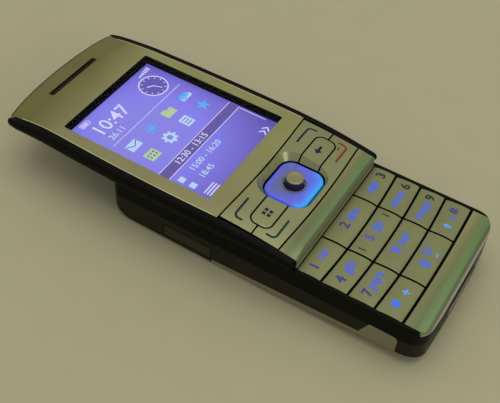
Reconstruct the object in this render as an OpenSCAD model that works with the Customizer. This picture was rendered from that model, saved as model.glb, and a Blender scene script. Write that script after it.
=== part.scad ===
// Slide phone, drawn slid open: an upper half with display and navigation keys over a number pad

/* [Overall size] */
// Width across both halves
body_w = 49; // [47:0.5:52]
// How far the base stands out at each end when the phone is closed
base_over = 0.9; // [0.4:0.1:1.2]
// Height of the base half, rest face to key tops
base_h = 15.2; // [15:0.1:17]
// Height of the upper half at the middle of its crown
upper_h = 5.65; // [5.5:0.05:6.2]
// How far the upper half slides between closed and open
slide_travel = 38.3; // [37.4:0.1:39]
// Air gap between the two halves
slide_gap = 0.3; // [0.25:0.05:0.4]

/* [Outline] */
// Radius of the bowed ends
end_bow_r = 110; // [90:5:140]
// Radius of the slightly bowed key end of the base
low_bow_r = 300; // [240:10:400]
// Corner radius of the upper half at its top end
upper_corner_r = 2; // [1.6:0.1:2.6]
// Corner radius of the upper half at its straight lower end
nose_corner_r = 1.8; // [1.4:0.1:2.2]
// Corner radius of the base at its top end
base_top_corner_r = 3.2; // [2.6:0.2:4]
// Corner radius of the base at its key end
base_low_corner_r = 5.6; // [5:0.2:6.4]
// Radius of the underside sweep at the top end of the base
rear_sweep_r = 13.4; // [12.4:0.2:14]
// Radius of the underside sweep at the key end of the base
key_sweep_r = 4.4; // [4:0.2:5]
// Radius of the rolled top edge at the key end of the base
key_roll_r = 3.8; // [3.4:0.1:4.2]
// Rise of the lower side edge at the key end
edge_rise = 4.3; // [3.4:0.1:4.5]
// Width of the bevel that makes this rise, at the key end
edge_bevel_w = 10.4; // [9:0.2:11]
// Width of the small bevel under both long edges
under_bevel_w = 1.2; // [0.8:0.1:1.3]

/* [Upper half] */
// How far the sides of the upper half bow outwards
side_bow = 1; // [0.6:0.1:1.2]
// Radius of the bowed lines above and below the navigation keys
line_bow_r = 285; // [260:5:320]
// Fall of the crown at the side edges
crown_sag = 0.6; // [0.4:0.05:0.8]
// Width beside each edge over which the crown falls
crown_fall_w = 8.5; // [7:0.5:10]
// Radius of the downward curve towards the keys
front_curve_r = 167; // [155:1:180]
// Radius of the downward curve towards the earpiece
ear_curve_r = 95; // [88:1:105]
// Radius of the rolled edge of the upper bar
bar_roll_r = 2.4; // [2:0.1:2.6]
// Height of the flat front below this roll
nose_rise = 1.2; // [1:0.1:1.4]
// Width of the black rim beside the plate
rim_w = 1.1; // [0.9:0.1:1.3]
// Width of the ledge that carries the plate
ledge_w = 1.2; // [0.9:0.1:1.3]
// Thickness of the metal front plate
plate_t = 1; // [0.8:0.1:1.1]
// Thickness of the floor of the upper frame
floor_t = 0.7; // [0.6:0.05:0.7]
// Distance from the side of the body to the display window
window_side = 4.3; // [4:0.1:5.4]
// Length of the display window
window_l = 50.4; // [47:0.2:54]
// Distance from the lower end of the upper half to the window
window_start = 30; // [29.6:0.1:30.4]
// Distance from the display window to its top end
brow_l = 20; // [19:0.2:22]
// Dark border beside the lit area of the display
lit_side = 1.2; // [1:0.1:2]
// Dark border above the lit area of the display
lit_top = 1.4; // [1:0.1:2.4]
// Length of the polished bar at the lower end
bar_l = 5.85; // [5.4:0.05:6.2]
// Distance from the lower end of the upper half to the plate seam, beside the rim
seam_start = 24.6; // [24.4:0.1:24.8]
// Length of the earpiece slot
ear_slot_l = 20.5; // [16:0.5:22]
// Width of the earpiece slot
ear_slot_w = 1.3; // [1.1:0.1:1.6]

/* [Navigation keys] */
// Width of the navigation pad
pad_w = 15.4; // [14:0.2:16]
// Length of the navigation pad
pad_l = 13.6; // [13:0.2:14]
// Corner radius of the navigation pad
pad_r = 3.8; // [3.4:0.1:4.2]
// Radius of the select button
select_r = 2.6; // [2.4:0.1:2.8]
// Height of the select button above the plate
select_rise = 0.5; // [0:0.1:0.8]
// Width of the sloping wall around the pad
well_w = 1.3; // [1:0.1:1.6]
// Length of the two middle keys along the phone
pill_l = 6.1; // [5.6:0.1:6.4]
// Distance from a middle key to the plate rim
pill_end = 3.6; // [3:0.2:4.4]
// Gap between neighbouring keys
nav_gap = 0.5; // [0.4:0.05:0.55]
// Gap between the two keys of a pair, left and right
pair_gap = 0.1; // [0.06:0.02:0.2]
// Press travel of the navigation keys
nav_press = 0.3; // [0.2:0.02:0.3]

/* [Number keys] */
// Width of the middle column of keys
mid_key_w = 18.3; // [17:0.1:19]
// Gap between neighbouring number keys
key_gap = 0.6; // [0.5:0.05:0.7]
// Height of a key's ridge above the rim of the base
ridge_rise = 0.12; // [0:0.02:0.16]
// Distance of this ridge below the middle of its key
ridge_drop = 0.9; // [0.5:0.1:1.2]
// Radius of a key's top below its ridge
ridge_low_r = 12; // [10:1:16]
// Radius of a key's top above its ridge
ridge_high_r = 30; // [24:1:40]
// Thickness of a number key
key_t = 1.2; // [1:0.05:1.2]
// Press travel of the number keys
key_press = 0.35; // [0.25:0.05:0.35]
// Length of the rolled strip below the keys, to the base end
strip_l = 7.7; // [7.4:0.1:8.2]
// Radius of the bowed upper edge of this strip
strip_bow_r = 600; // [500:20:800]

/* [Base half] */
// Wall thickness of the base shells
wall = 1.3; // [1.1:0.1:1.4]
// Height of the joint between middle frame and rear housing
split_z = 9.2; // [9:0.1:9.3]
// Thickness of the battery cover
cover_t = 1.1; // [1:0.1:1.2]
// Height of the cover strip at its upper end
cover_edge_z = 2.1; // [2:0.1:2.4]
// Height of the cover strip where the grip tab starts
cover_tab_z = 4.4; // [4:0.1:4.6]
// Height of the grip tabs at the sides of the cover
tab_z = 9.4; // [8.8:0.1:9.6]
// Length of the grip tabs
tab_l = 8.3; // [7.6:0.1:8.8]
// Distance from the side of the body to the battery
battery_side = 8.8; // [8.8:0.1:10]
// Distance from the ends of the cover to the battery
battery_end = 3.65; // [3:0.05:5]
// Battery thickness
battery_t = 5.6; // [5:0.1:6]
// Radius of the charger socket bore
charger_r = 1.05; // [0.9:0.05:1.2]
// Depth of the charger socket bore
charger_depth = 5; // [4:0.2:5.4]
// Radius of the camera opening
camera_r = 3.2; // [2.8:0.1:3.4]

/* [Hidden] */
$fn = 96;
eps = 0.02;
fit = 0.1;
far = 200;

// Lengths along the phone, base centred on the origin
upper_len = window_start + window_l + brow_l;
base_len = upper_len + 2 * base_over;
base_lo = -base_len / 2;
base_hi = base_len / 2;
upper_lo = base_lo + base_over + slide_travel;
upper_hi = upper_lo + upper_len;
seam_y = upper_lo + seam_start;
bar_y = upper_lo + bar_l;
window_y = upper_lo + window_start + window_l / 2;
lit_low = 0.4;
window_w = body_w - 2 * window_side;
lit_w = window_w - 2 * lit_side;
lit_l = window_l - lit_low - lit_top;
lit_y = upper_lo + window_start + lit_low + lit_l / 2;
nav_y = (bar_y + seam_y) / 2 - 0.9;
ear_y = upper_hi - 6.9;
plate_half = body_w / 2 - rim_w;
bow_y = upper_lo + 45;
bow_half = 41;
side_bow_r = (pow(bow_half, 2) / side_bow + side_bow) / 2;

// Heights of the upper half
under_z = base_h + slide_gap;
top_z = under_z + upper_h;
floor_z = under_z + floor_t;
flat_lo = upper_lo + 29;
flat_hi = upper_hi - 22.4;
board_z = floor_z + 0.05;
nav_board_t = 0.55;
nav_mat_z = board_z + nav_board_t + 0.04;
nav_mat_t = 0.66;
nav_key_z = nav_mat_z + nav_mat_t + nav_press + 0.06;
pad_bottom = nav_key_z;
pad_top = top_z - 2.1;
select_top = top_z + select_rise;
select_bottom = board_z + nav_board_t + 0.35;
select_round = 0.5;
panel_t = top_z - 2.3 - board_z;
gasket_z = board_z + panel_t + 0.03;
gasket_t = 0.75;
pane_z = gasket_z + gasket_t + 0.03;

// Heights of the base half
key_z = base_h - key_t;
mat_t = 0.6;
mat_z = key_z - key_press - 0.06 - mat_t;
dome_t = 0.2;
dome_z = mat_z - 0.05 - dome_t - 0.1;
main_board_t = 0.8;
main_board_z = dome_z - 0.05 - main_board_t;
deck_t = 1.8;
deck_z = base_h - deck_t;
strip_y = base_lo + strip_l;
strip_fall = 1.4;
strip_gap = 0.3;
key_pitch = (upper_lo - strip_y) / 4;
side_key_w = plate_half - fit - mid_key_w / 2 - key_gap;
side_key_x = plate_half - fit - side_key_w / 2;
row_sag = line_bow_r - sqrt(line_bow_r * line_bow_r - plate_half * plate_half);
strip_sag = strip_bow_r - sqrt(strip_bow_r * strip_bow_r - plate_half * plate_half);
last_edge = strip_y + 0.05 + strip_sag;

// Slide mechanism
guide_t = 0.6;
runner_x = body_w / 2 - 8.5;
runner_w = 1;
runner_foot_w = 2.4;
runner_foot_t = 0.55;
runner_play = 0.15;
runner_lo = upper_lo + slide_travel + 2.5;
runner_hi = base_hi - 3.4;
carriage_t = 0.4;
carriage_lo = runner_lo - 12;
carriage_hi = runner_hi + 12;
guide_lo = runner_lo - slide_travel - 1.3;
guide_hi = runner_hi + 1.3;
flex_half = 5;

// Battery cover
cover_top_room = 37.3;
cover_key_room = 7.6;
cover_hi = base_hi - cover_top_room;
cover_lo = base_lo + cover_key_room;
tab_hi = cover_lo + tab_l;
battery_y = (cover_lo + cover_hi) / 2;
battery_w = body_w - 2 * battery_side;
battery_l = cover_hi - cover_lo - 2 * battery_end;
battery_z = cover_t + 0.15;
bay_gap = 0.3;
contact_pitch = 5;
contact_rise = 2;
tab_slope = 2.6;

// Rear pieces
door_lo = cover_hi + 0.6;
door_hi = door_lo + 15.8;
door_z = 2.5;
door_h = 3.8;
door_t = 0.9;
hollow_room = 5;
camera_y = base_hi - 21;
speaker_x = body_w / 2 - 11.5;
speaker_y = base_hi - 29;
speaker_r = 5.6;
motor_x = body_w / 2 - 11.5;
motor_y = base_hi - 14.5;
motor_r = 2;
motor_z = wall + 0.05 + motor_r;
motor_l = 7;
weight_r = motor_r - 0.3;
rocker_y = base_hi - 28;
rocker_l = 14;
voice_y = base_hi - 53;
voice_l = 6;
side_key_h = 2;
side_key_z = split_z + 2.1;
side_key_out = 0.5;
side_key_travel = 0.3;
socket_x = body_w / 2 - 10.5;
socket_z = 7.2;
connector_w = 15;
connector_h = 2.6;
screw_r = 0.8;
screw_x = body_w / 2 - 4.5;
screw_top_room = 4;
screw_key_room = 12;
screw_seat_z = split_z - 1.43;
screw_l = main_board_z - 0.62 - screw_seat_z;

// Plain rounded rectangle, centred
module slab(w, l, r) {
  square([w - 2 * r, l], center = true);
  square([w, l - 2 * r], center = true);
  for (sx = [-1, 1], sy = [-1, 1])
    translate([sx * (w / 2 - r), sy * (l / 2 - r)])
      circle(r);
}

// Half of a body outline from the middle line to one bowed end, with true corner arcs
module bowed_end(w, reach, bow, corner) {
  corner_x = w / 2 - corner;
  bow_y = reach - bow;
  corner_y = bow_y + sqrt(pow(bow - corner, 2) - pow(corner_x, 2));
  meet_x = corner_x * bow / (bow - corner);
  translate([-w / 2, 0])
    square([w, corner_y]);
  for (sx = [-1, 1])
    translate([sx * corner_x, corner_y])
      circle(corner);
  intersection() {
    translate([0, bow_y])
      circle(bow, $fn = 360);
    translate([-meet_x, 0])
      square([2 * meet_x, reach + 1]);
  }
}

// Half of a body outline from the middle line to a straight end
module straight_end(w, reach, corner) {
  translate([-w / 2, 0])
    square([w, reach - corner]);
  translate([-w / 2 + corner, 0])
    square([w - 2 * corner, reach]);
  for (sx = [-1, 1])
    translate([sx * (w / 2 - corner), reach - corner])
      circle(corner);
}

// Outline of the base with its two bowed ends, drawn smaller by inset
module base_outline(inset) {
  w = body_w - 2 * inset;
  bowed_end(w, base_hi - inset, end_bow_r - inset, base_top_corner_r - inset);
  mirror([0, 1])
    bowed_end(w, -base_lo - inset, low_bow_r - inset, base_low_corner_r - inset);
}

// Bowed sides of the upper half, ending just inside the straight ones
module side_lens(inset) {
  shift = side_bow_r - body_w / 2 - side_bow;
  translate([0, bow_y])
    intersection() {
      translate([shift, 0])
        circle(side_bow_r - inset, $fn = 360);
      translate([-shift, 0])
        circle(side_bow_r - inset, $fn = 360);
      square([body_w + 4 * side_bow, 2 * bow_half + 2], center = true);
    }
}

// Outline of the upper half, bowed above and straight below, drawn smaller by inset
module upper_outline(inset) {
  w = body_w - 2 * inset;
  reach = upper_len / 2 - inset;
  side_lens(inset);
  translate([0, (upper_lo + upper_hi) / 2]) {
    bowed_end(w, reach, end_bow_r - inset, max(upper_corner_r - inset, 0.4));
    mirror([0, 1])
      straight_end(w, reach, max(nose_corner_r - inset, 0.4));
  }
}

// Disc whose lower edge is a bowed line across the phone, at the place y beside the rim
module bowed_disc(y, bow, grow) {
  sag = bow - sqrt(bow * bow - plate_half * plate_half);
  translate([0, y - sag + bow])
    circle(bow + grow, $fn = 360);
}

// Box between two corners
module box(a, b) {
  translate(a)
    cube(b - a);
}

// Extrusion of a lengthwise profile (along, up) across the phone
module across(half) {
  rotate([90, 0, 90])
    translate([0, 0, -half])
      linear_extrude(2 * half)
        children();
}

// Cross section of the crowned upper half, up to the given height
module crown_section(height) {
  fall_r = (pow(crown_fall_w, 2) / crown_sag + crown_sag) / 2;
  flat_x = body_w / 2 - crown_fall_w;
  translate([-flat_x, height - 8])
    square([2 * flat_x, 8]);
  for (sx = [-1, 1])
    intersection() {
      translate([sx * flat_x, height - fall_r])
        circle(fall_r, $fn = 360);
      translate([sx > 0 ? flat_x - eps : -body_w / 2 - 2, height - 8])
        square([crown_fall_w + 2 + eps, 8]);
    }
}

// One end of the crown, turned about an axis across the phone
module crown_turn(bend, reach) {
  rotate([0, -90, 0])
    rotate_extrude(angle = asin((reach + 2) / (bend - 8)), $fn = 360)
      rotate(-90)
        crown_section(bend);
}

// Crowned top of the upper half: straight middle and two lengthwise curves
module crown(drop) {
  translate([0, 0, top_z - drop]) {
    translate([0, flat_hi + eps, 0])
      rotate([90, 0, 0])
        linear_extrude(flat_hi - flat_lo + 2 * eps)
          crown_section(0);
    translate([0, flat_hi, -ear_curve_r])
      crown_turn(ear_curve_r, upper_hi - flat_hi);
    translate([0, flat_lo, -front_curve_r])
      mirror([0, 1, 0])
        crown_turn(front_curve_r, flat_lo - upper_lo);
  }
}

// Column with the upper outline, drawn smaller by inset
module upper_column(inset, z) {
  translate([0, 0, z])
    linear_extrude(8)
      upper_outline(inset);
}

// Lengthwise profile with the rolled lower edge of the upper half
module upper_nose() {
  // The roll starts a little outside the end, so it meets the flat front at an edge
  roll_y = upper_lo + bar_roll_r - 0.2;
  across(body_w)
    union() {
      translate([roll_y, under_z - 1])
        square([upper_len + 2, 10]);
      translate([upper_lo - 1, under_z - 1])
        square([bar_roll_r + 2, 1 + nose_rise + eps]);
      translate([roll_y, under_z + nose_rise])
        circle(bar_roll_r);
    }
}

// Whole upper half as one solid, top lowered by drop and sides drawn in by inset
module upper_body(drop, inset) {
  intersection() {
    crown(drop);
    upper_column(inset, under_z);
    upper_nose();
  }
}

// Piece of the crowned top inside a plan shape, down to the height z
module crown_piece(z, drop = 0) {
  intersection() {
    crown(drop);
    translate([0, 0, z])
      linear_extrude(8)
        children();
  }
}

// Lengthwise profile of the base: sweeps below both ends and a rolled key end
module base_profile(inset) {
  lo = base_lo + inset;
  hi = base_hi - inset;
  sweep = rear_sweep_r - inset;
  low = key_sweep_r - inset;
  roll = key_roll_r - inset;
  difference() {
    translate([lo, inset])
      square([hi - lo, base_h - 2 * inset]);
    translate([hi - sweep, inset])
      difference() {
        translate([0, -1])
          square([sweep + 1, sweep + 1]);
        translate([0, sweep])
          circle(sweep);
      }
    translate([lo, inset])
      difference() {
        translate([-1, -1])
          square([low + 1, low + 1]);
        translate([low, low])
          circle(low);
      }
    translate([lo, base_h - inset - roll])
      difference() {
        translate([-1, 0])
          square([roll + 1, roll + 1]);
        translate([roll, 0])
          circle(roll);
      }
  }
}

// Bevel under one long edge, growing towards the key end
module edge_bevel(inset) {
  tilt = atan(edge_rise / edge_bevel_w);
  swing = atan(edge_bevel_w / (base_len * 0.623));
  translate([-body_w / 2 + edge_bevel_w, base_lo, inset / cos(tilt)])
    rotate([0, 0, swing])
      rotate([0, tilt, 0])
        translate([-far / 2, -far / 4, -far / 4])
          cube([far / 2, far, far / 4]);
}

// Small bevel under one long edge
module under_bevel(inset) {
  translate([-body_w / 2 + under_bevel_w, 0, inset / cos(45)])
    rotate([0, 45, 0])
      translate([-far / 2, -far / 2, -far / 4])
        cube([far / 2, far, far / 4]);
}

// Whole base half as one solid, all faces drawn in by inset
module base_body(inset) {
  difference() {
    intersection() {
      linear_extrude(base_h)
        base_outline(inset);
      across(body_w)
        base_profile(inset);
    }
    edge_bevel(inset);
    under_bevel(inset);
    mirror([1, 0, 0]) {
      edge_bevel(inset);
      under_bevel(inset);
    }
  }
}

// Side view of the battery cover, drawn larger by grow
module cover_side(grow) {
  corner = 1.4;
  across(body_w)
    union() {
      polygon([
        [cover_hi + grow, -2],
        [cover_hi + grow, cover_edge_z + grow],
        [tab_hi + tab_slope + grow, cover_tab_z + grow],
        [cover_lo - grow, cover_tab_z + grow],
        [cover_lo - grow, -2]
      ]);
      polygon([
        [tab_hi + tab_slope + grow, cover_tab_z + grow - 0.1],
        [tab_hi + grow, tab_z + grow],
        [cover_lo - grow + corner, tab_z + grow],
        [cover_lo - grow, tab_z + grow - corner],
        [cover_lo - grow, cover_tab_z + grow - 0.1]
      ]);
      translate([cover_lo - grow + corner, tab_z + grow - corner])
        circle(corner);
    }
}

// Upper half

module upper_frame() {
  color([0.09, 0.09, 0.08])
    difference() {
      union() {
        difference() {
          upper_body(0, 0);
          upper_column(rim_w, floor_z);
        }
        intersection() {
          upper_body(plate_t, rim_w / 2);
          box([-far, seam_y, 0], [far, far, far]);
        }
      }
      upper_column(rim_w + ledge_w, floor_z);
      // The polished bar reaches the rolled front edge
      box([-plate_half, upper_lo - 1, floor_z], [plate_half, bar_y, far]);
      // Seat of the slide carriage and opening for the flexible cable
      box([-runner_x - 3 - fit, carriage_lo - fit, under_z - 1],
        [runner_x + 3 + fit, carriage_hi + fit, under_z + carriage_t + eps]);
      box([-flex_half - 1, carriage_lo + 3, under_z - 1], [flex_half + 1, carriage_lo + 9, far]);
    }
}

module front_plate() {
  color([0.52, 0.5, 0.36])
    difference() {
      intersection() {
        upper_body(0, rim_w + 0.04);
        linear_extrude(far)
          bowed_disc(seam_y, line_bow_r, -nav_gap / 2);
      }
      crown(plate_t);
      translate([0, window_y, 0])
        linear_extrude(far)
          slab(window_w, window_l, 0.6);
      translate([0, ear_y, 0])
        linear_extrude(far)
          slab(ear_slot_l, ear_slot_w, ear_slot_w / 2 - eps);
    }
}

module display_window() {
  color([0.3, 0.32, 0.4, 0.5])
    crown_piece(pane_z, 0.12)
      translate([0, window_y])
        slab(window_w - 2 * fit, window_l - 2 * fit, 0.5);
}

module display_gasket() {
  color([0.05, 0.05, 0.05])
    translate([0, 0, gasket_z])
      linear_extrude(gasket_t)
        difference() {
          translate([0, window_y])
            square([window_w + 1, window_l + 1], center = true);
          translate([0, lit_y])
            square([lit_w + 0.4, lit_l + 0.4], center = true);
        }
}

module display_panel() {
  color([0.35, 0.32, 0.7])
    difference() {
      translate([0, 0, board_z])
        linear_extrude(panel_t)
          translate([0, window_y + 1.5])
            slab(window_w + 1.6, window_l + 5.5, 0.4);
      // Step for the bonded driver strip
      box([-far, window_y + window_l / 2 + 1.5, board_z + panel_t - 0.4], [far, far, far]);
    }
}

module earpiece_grille() {
  slit = 0.5;
  pitch = 1;
  count = floor((ear_slot_l - 2) / pitch / 2);
  color([0.12, 0.12, 0.11])
    difference() {
      crown_piece(under_z, 0.45)
        translate([0, ear_y])
          slab(ear_slot_l - 2 * fit, ear_slot_w - 2 * fit, ear_slot_w / 2 - fit - eps);
      crown(plate_t + 0.05);
      for (i = [-count:count])
        translate([i * pitch, ear_y, 0])
          linear_extrude(far)
            square([slit, ear_slot_w - 0.6], center = true);
    }
}

module earpiece() {
  color([0.6, 0.58, 0.5])
    translate([0, ear_y - 1.6, board_z]) {
      linear_extrude(0.9)
        slab(12, 7, 1.5);
      translate([0, 0, 0.9])
        linear_extrude(0.25)
          slab(10, 5.4, 1.2);
    }
}

module upper_bar() {
  color([0.5, 0.52, 0.38])
    difference() {
      intersection() {
        upper_body(0, 0);
        box([-plate_half + 0.04, upper_lo - 1, floor_z + 0.02], [plate_half - 0.04, bar_y + 1, far]);
      }
      linear_extrude(far)
        bowed_disc(bar_y, line_bow_r, nav_gap / 2);
    }
}

module nav_board() {
  color([0.1, 0.3, 0.16])
    translate([0, 0, board_z])
      linear_extrude(nav_board_t)
        difference() {
          translate([0, (bar_y + seam_y) / 2])
            slab(2 * plate_half - 0.6, seam_y - bar_y - 0.3, 0.8);
          for (sx = [-1, 1])
            translate([sx * (plate_half - 2), bar_y + 2.2])
              circle(0.6);
        }
}

module nav_mat() {
  color([0.16, 0.16, 0.16])
    translate([0, 0, nav_mat_z])
      linear_extrude(nav_mat_t)
        difference() {
          translate([0, (bar_y + seam_y) / 2])
            slab(2 * plate_half - 1, seam_y - bar_y - 0.6, 0.8);
          translate([0, nav_y])
            slab(pad_w + 0.8, pad_l + 0.8, pad_r);
        }
}

// Space taken out of the key panel by the pad and the middle keys
module pad_hole(grow) {
  translate([0, nav_y])
    slab(pad_w + 2 * grow, pad_l + 2 * grow, pad_r + grow);
}

module pill_shape(grow) {
  reach = plate_half - pill_end;
  translate([0, nav_y])
    slab(2 * reach + 2 * grow, pill_l + 2 * grow, pill_l / 2 - 1 + grow);
}

// Sloping well around the pad: four cones and the straight walls between them
module pad_well() {
  h = top_z - pad_top + 0.6;
  low_r = pad_r + nav_gap;
  high_r = low_r + well_w * h / (h - 1.1);
  x = pad_w / 2 - pad_r;
  y = pad_l / 2 - pad_r;
  translate([0, nav_y, pad_top - 0.3]) {
    for (sx = [-1, 1], sy = [-1, 1])
      translate([sx * x, sy * y, 0])
        cylinder(r1 = low_r, r2 = high_r, h = h);
    rotate([90, 0, 0])
      translate([0, 0, -y])
        linear_extrude(2 * y)
          polygon([[-x - low_r, 0], [x + low_r, 0], [x + high_r, h], [-x - high_r, h]]);
    rotate([90, 0, 90])
      translate([0, 0, -x])
        linear_extrude(2 * x)
          polygon([[-y - low_r, 0], [y + low_r, 0], [y + high_r, h], [-y - high_r, h]]);
  }
}

// One of four corner keys of the navigation panel
module corner_key(side, upper) {
  lo = upper ? nav_y + nav_gap / 2 : bar_y - 2;
  hi = upper ? seam_y + 1 : nav_y - nav_gap / 2;
  difference() {
    crown_piece(nav_key_z)
      difference() {
        intersection() {
          translate([side > 0 ? pair_gap / 2 : -plate_half + fit, lo])
            square([plate_half - fit - pair_gap / 2, hi - lo]);
          bowed_disc(bar_y, line_bow_r, -nav_gap / 2);
        }
        bowed_disc(seam_y, line_bow_r, nav_gap / 2);
        pill_shape(nav_gap);
        pad_hole(nav_gap + 0.1);
      }
    pad_well();
  }
}

module pill_key(side) {
  difference() {
    crown_piece(nav_key_z)
      difference() {
        intersection() {
          pill_shape(0);
          translate([side > 0 ? 0 : -far, -far])
            square([far, 2 * far]);
        }
        pad_hole(nav_gap + 0.1);
      }
    pad_well();
  }
}

module left_soft_key() {
  color([0.53, 0.51, 0.37])
    corner_key(-1, true);
}

module right_soft_key() {
  color([0.53, 0.51, 0.37])
    corner_key(1, true);
}

module call_key() {
  color([0.53, 0.51, 0.37])
    corner_key(-1, false);
}

module end_key() {
  color([0.53, 0.51, 0.37])
    corner_key(1, false);
}

module menu_key() {
  color([0.55, 0.53, 0.4])
    pill_key(-1);
}

module clear_key() {
  color([0.55, 0.53, 0.4])
    pill_key(1);
}

module nav_pivot() {
  color([0.2, 0.2, 0.2])
    translate([0, nav_y, board_z + nav_board_t + 0.5])
      linear_extrude(0.3)
        difference() {
          circle(select_r + 1.9);
          circle(select_r + 0.6);
        }
}

module nav_pad() {
  color([0.2, 0.22, 0.3])
    difference() {
      translate([0, 0, pad_bottom])
        linear_extrude(pad_top - pad_bottom)
          pad_hole(0);
      translate([0, nav_y, 0])
        cylinder(r = select_r + 0.4, h = far);
    }
}

module select_button() {
  color([0.3, 0.3, 0.28])
    difference() {
      translate([0, nav_y, select_bottom])
        rotate_extrude()
          union() {
            square([select_r, select_top - select_bottom - select_round]);
            square([select_r - select_round, select_top - select_bottom]);
            translate([select_r - select_round, select_top - select_bottom - select_round])
              circle(select_round);
          }
      // Shallow finger dish in the top
      translate([0, nav_y, select_top + 14.85])
        sphere(15, $fn = 160);
    }
}

module slide_carriage() {
  color([0.6, 0.6, 0.58]) {
    difference() {
      box([-runner_x - 3, carriage_lo, under_z], [runner_x + 3, carriage_hi, under_z + carriage_t]);
      box([-flex_half - 1, carriage_lo + 3, 0], [flex_half + 1, carriage_lo + 9, far]);
    }
    for (sx = [-1, 1])
      translate([sx * runner_x, 0, 0]) {
        box([-runner_w / 2, runner_lo, base_h - guide_t - runner_play - eps],
          [runner_w / 2, runner_hi, under_z + eps]);
        box([-runner_foot_w / 2, runner_lo, base_h - guide_t - runner_play - runner_foot_t],
          [runner_foot_w / 2, runner_hi, base_h - guide_t - runner_play]);
      }
  }
}

// Base half

module middle_frame() {
  color([0.1, 0.1, 0.09]) {
    frame_shell();
    // Screw posts joined to the side walls
    for (p = screw_points(), sx = [sign(p[0])])
      difference() {
        translate([p[0] + sx * 1.2, p[1], (split_z + main_board_z - 0.05) / 2])
          cube([6.4, 3.4, main_board_z - 0.05 - split_z], center = true);
        translate([p[0], p[1], 0])
          cylinder(r = screw_r + fit, h = far);
      }
  }
}

module frame_shell() {
  pocket_hi = upper_lo - key_gap / 2 + 0.2;
  difference() {
    intersection() {
      base_body(0);
      box([-far, -far, split_z], [far, far, far]);
    }
    // Hollow for boards below the deck
    intersection() {
      translate([0, 0, split_z - 1])
        linear_extrude(deck_z - split_z + 1)
          base_outline(2 * wall);
      box([-far, strip_y, 0], [far, base_hi - 4, far]);
    }
    // Key pocket
    box([-plate_half, strip_y, split_z - 1], [plate_half, pocket_hi, far]);
    // Seat of the rolled strip
    bar_seat(0.03);
    // Seat of the guide plate, channels for the runner feet, cable recess
    box([-runner_x - 3 - fit, guide_lo - fit, base_h - guide_t],
      [runner_x + 3 + fit, guide_hi + fit, far]);
    for (sx = [-1, 1])
      translate([sx * runner_x, 0, 0])
        box([-runner_foot_w / 2 - 0.3, runner_lo - slide_travel - 0.3, deck_z + 0.2],
          [runner_foot_w / 2 + 0.3, runner_hi + 0.3, far]);
    box([-flex_half - 1, guide_lo + 8, deck_z - 1], [flex_half + 1, guide_hi - 4, far]);
    // Grip tabs of the cover
    cover_space(fit);
    side_key_space();
    end_socket_space();
  }
}

module bar_seat(grow) {
  box([-plate_half - grow, base_lo - 1, base_h - strip_fall - grow], [plate_half + grow, strip_y + grow, far]);
}

module slide_guide() {
  color([0.58, 0.58, 0.56])
    difference() {
      box([-runner_x - 3, guide_lo, base_h - guide_t], [runner_x + 3, guide_hi, base_h]);
      for (sx = [-1, 1])
        translate([sx * runner_x, 0, 0])
          box([-runner_w / 2 - runner_play, runner_lo - slide_travel - 0.3, 0],
            [runner_w / 2 + runner_play, runner_hi + 0.3, far]);
      box([-flex_half - 1, guide_lo + 8, 0], [flex_half + 1, guide_hi - 4, far]);
    }
}

module flex_cable() {
  ribbon = 0.15;
  bend = 0.55;
  low_z = deck_z + 0.25;
  run_lo = guide_lo + 9;
  run_hi = guide_hi - 6;
  color([0.65, 0.42, 0.12])
    rotate([90, 0, 90])
      translate([0, 0, -flex_half])
        linear_extrude(2 * flex_half)
          union() {
            translate([run_lo, low_z])
              square([run_hi - run_lo, ribbon]);
            translate([carriage_lo + 6, low_z + 2 * bend - ribbon])
              square([run_hi - carriage_lo - 6, ribbon]);
            translate([carriage_lo + 6, low_z + 2 * bend - ribbon])
              square([ribbon, board_z - low_z - 2 * bend]);
            translate([run_lo, main_board_z + main_board_t + 0.02])
              square([ribbon, low_z - main_board_z - main_board_t]);
            intersection() {
              translate([run_hi, low_z + bend])
                difference() {
                  circle(bend);
                  circle(bend - ribbon);
                }
              translate([run_hi - eps, low_z - 1])
                square([2, 4]);
            }
          }
}

module bottom_bar() {
  color([0.5, 0.52, 0.38])
    difference() {
      intersection() {
        base_body(0);
        bar_seat(-0.03);
      }
      linear_extrude(far)
        bowed_disc(strip_y - strip_gap, strip_bow_r, 0);
    }
}

module keypad_mat() {
  color([0.08, 0.08, 0.08])
    box([-plate_half + fit, strip_y + fit, mat_z], [plate_half - fit, upper_lo - fit, mat_z + mat_t]);
}

module dome_sheet() {
  cap_r = 2;
  cap_h = 0.1;
  ball_r = (cap_r * cap_r + cap_h * cap_h) / (2 * cap_h);
  color([0.75, 0.75, 0.7]) {
    box([-plate_half + 0.3, strip_y + 0.3, dome_z], [plate_half - 0.3, upper_lo - 0.3, dome_z + dome_t]);
    for (column = [-1:1], row = [0:3])
      translate([column * side_key_x, upper_lo - (row + 0.5) * key_pitch, dome_z + dome_t - eps])
        intersection() {
          translate([0, 0, cap_h - ball_r])
            sphere(ball_r, $fn = 100);
          cylinder(r = cap_r, h = cap_h + eps);
        }
  }
}

// One number key: column -1 to 1, row 0 at the upper half
module number_key(column, row) {
  w = column == 0 ? mid_key_w : side_key_w;
  hi = upper_lo - row * key_pitch;
  lo = hi - key_pitch;
  color([0.51, 0.5, 0.35])
    intersection() {
      across(plate_half)
        key_profile((lo + hi) / 2);
      translate([0, 0, key_z])
        linear_extrude(key_t + ridge_rise + 1)
          difference() {
            intersection() {
              translate([column * side_key_x - w / 2, lo - 2])
                square([w, row == 0 ? key_pitch + 2 - key_gap / 2 : key_pitch + 4]);
              if (row < 3)
                bowed_disc(lo + row_sag / 2, line_bow_r, -key_gap / 2);
              else
                bowed_disc(last_edge, strip_bow_r, 0);
            }
            if (row > 0)
              bowed_disc(hi + row_sag / 2, line_bow_r, key_gap / 2);
          }
    }
}

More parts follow.
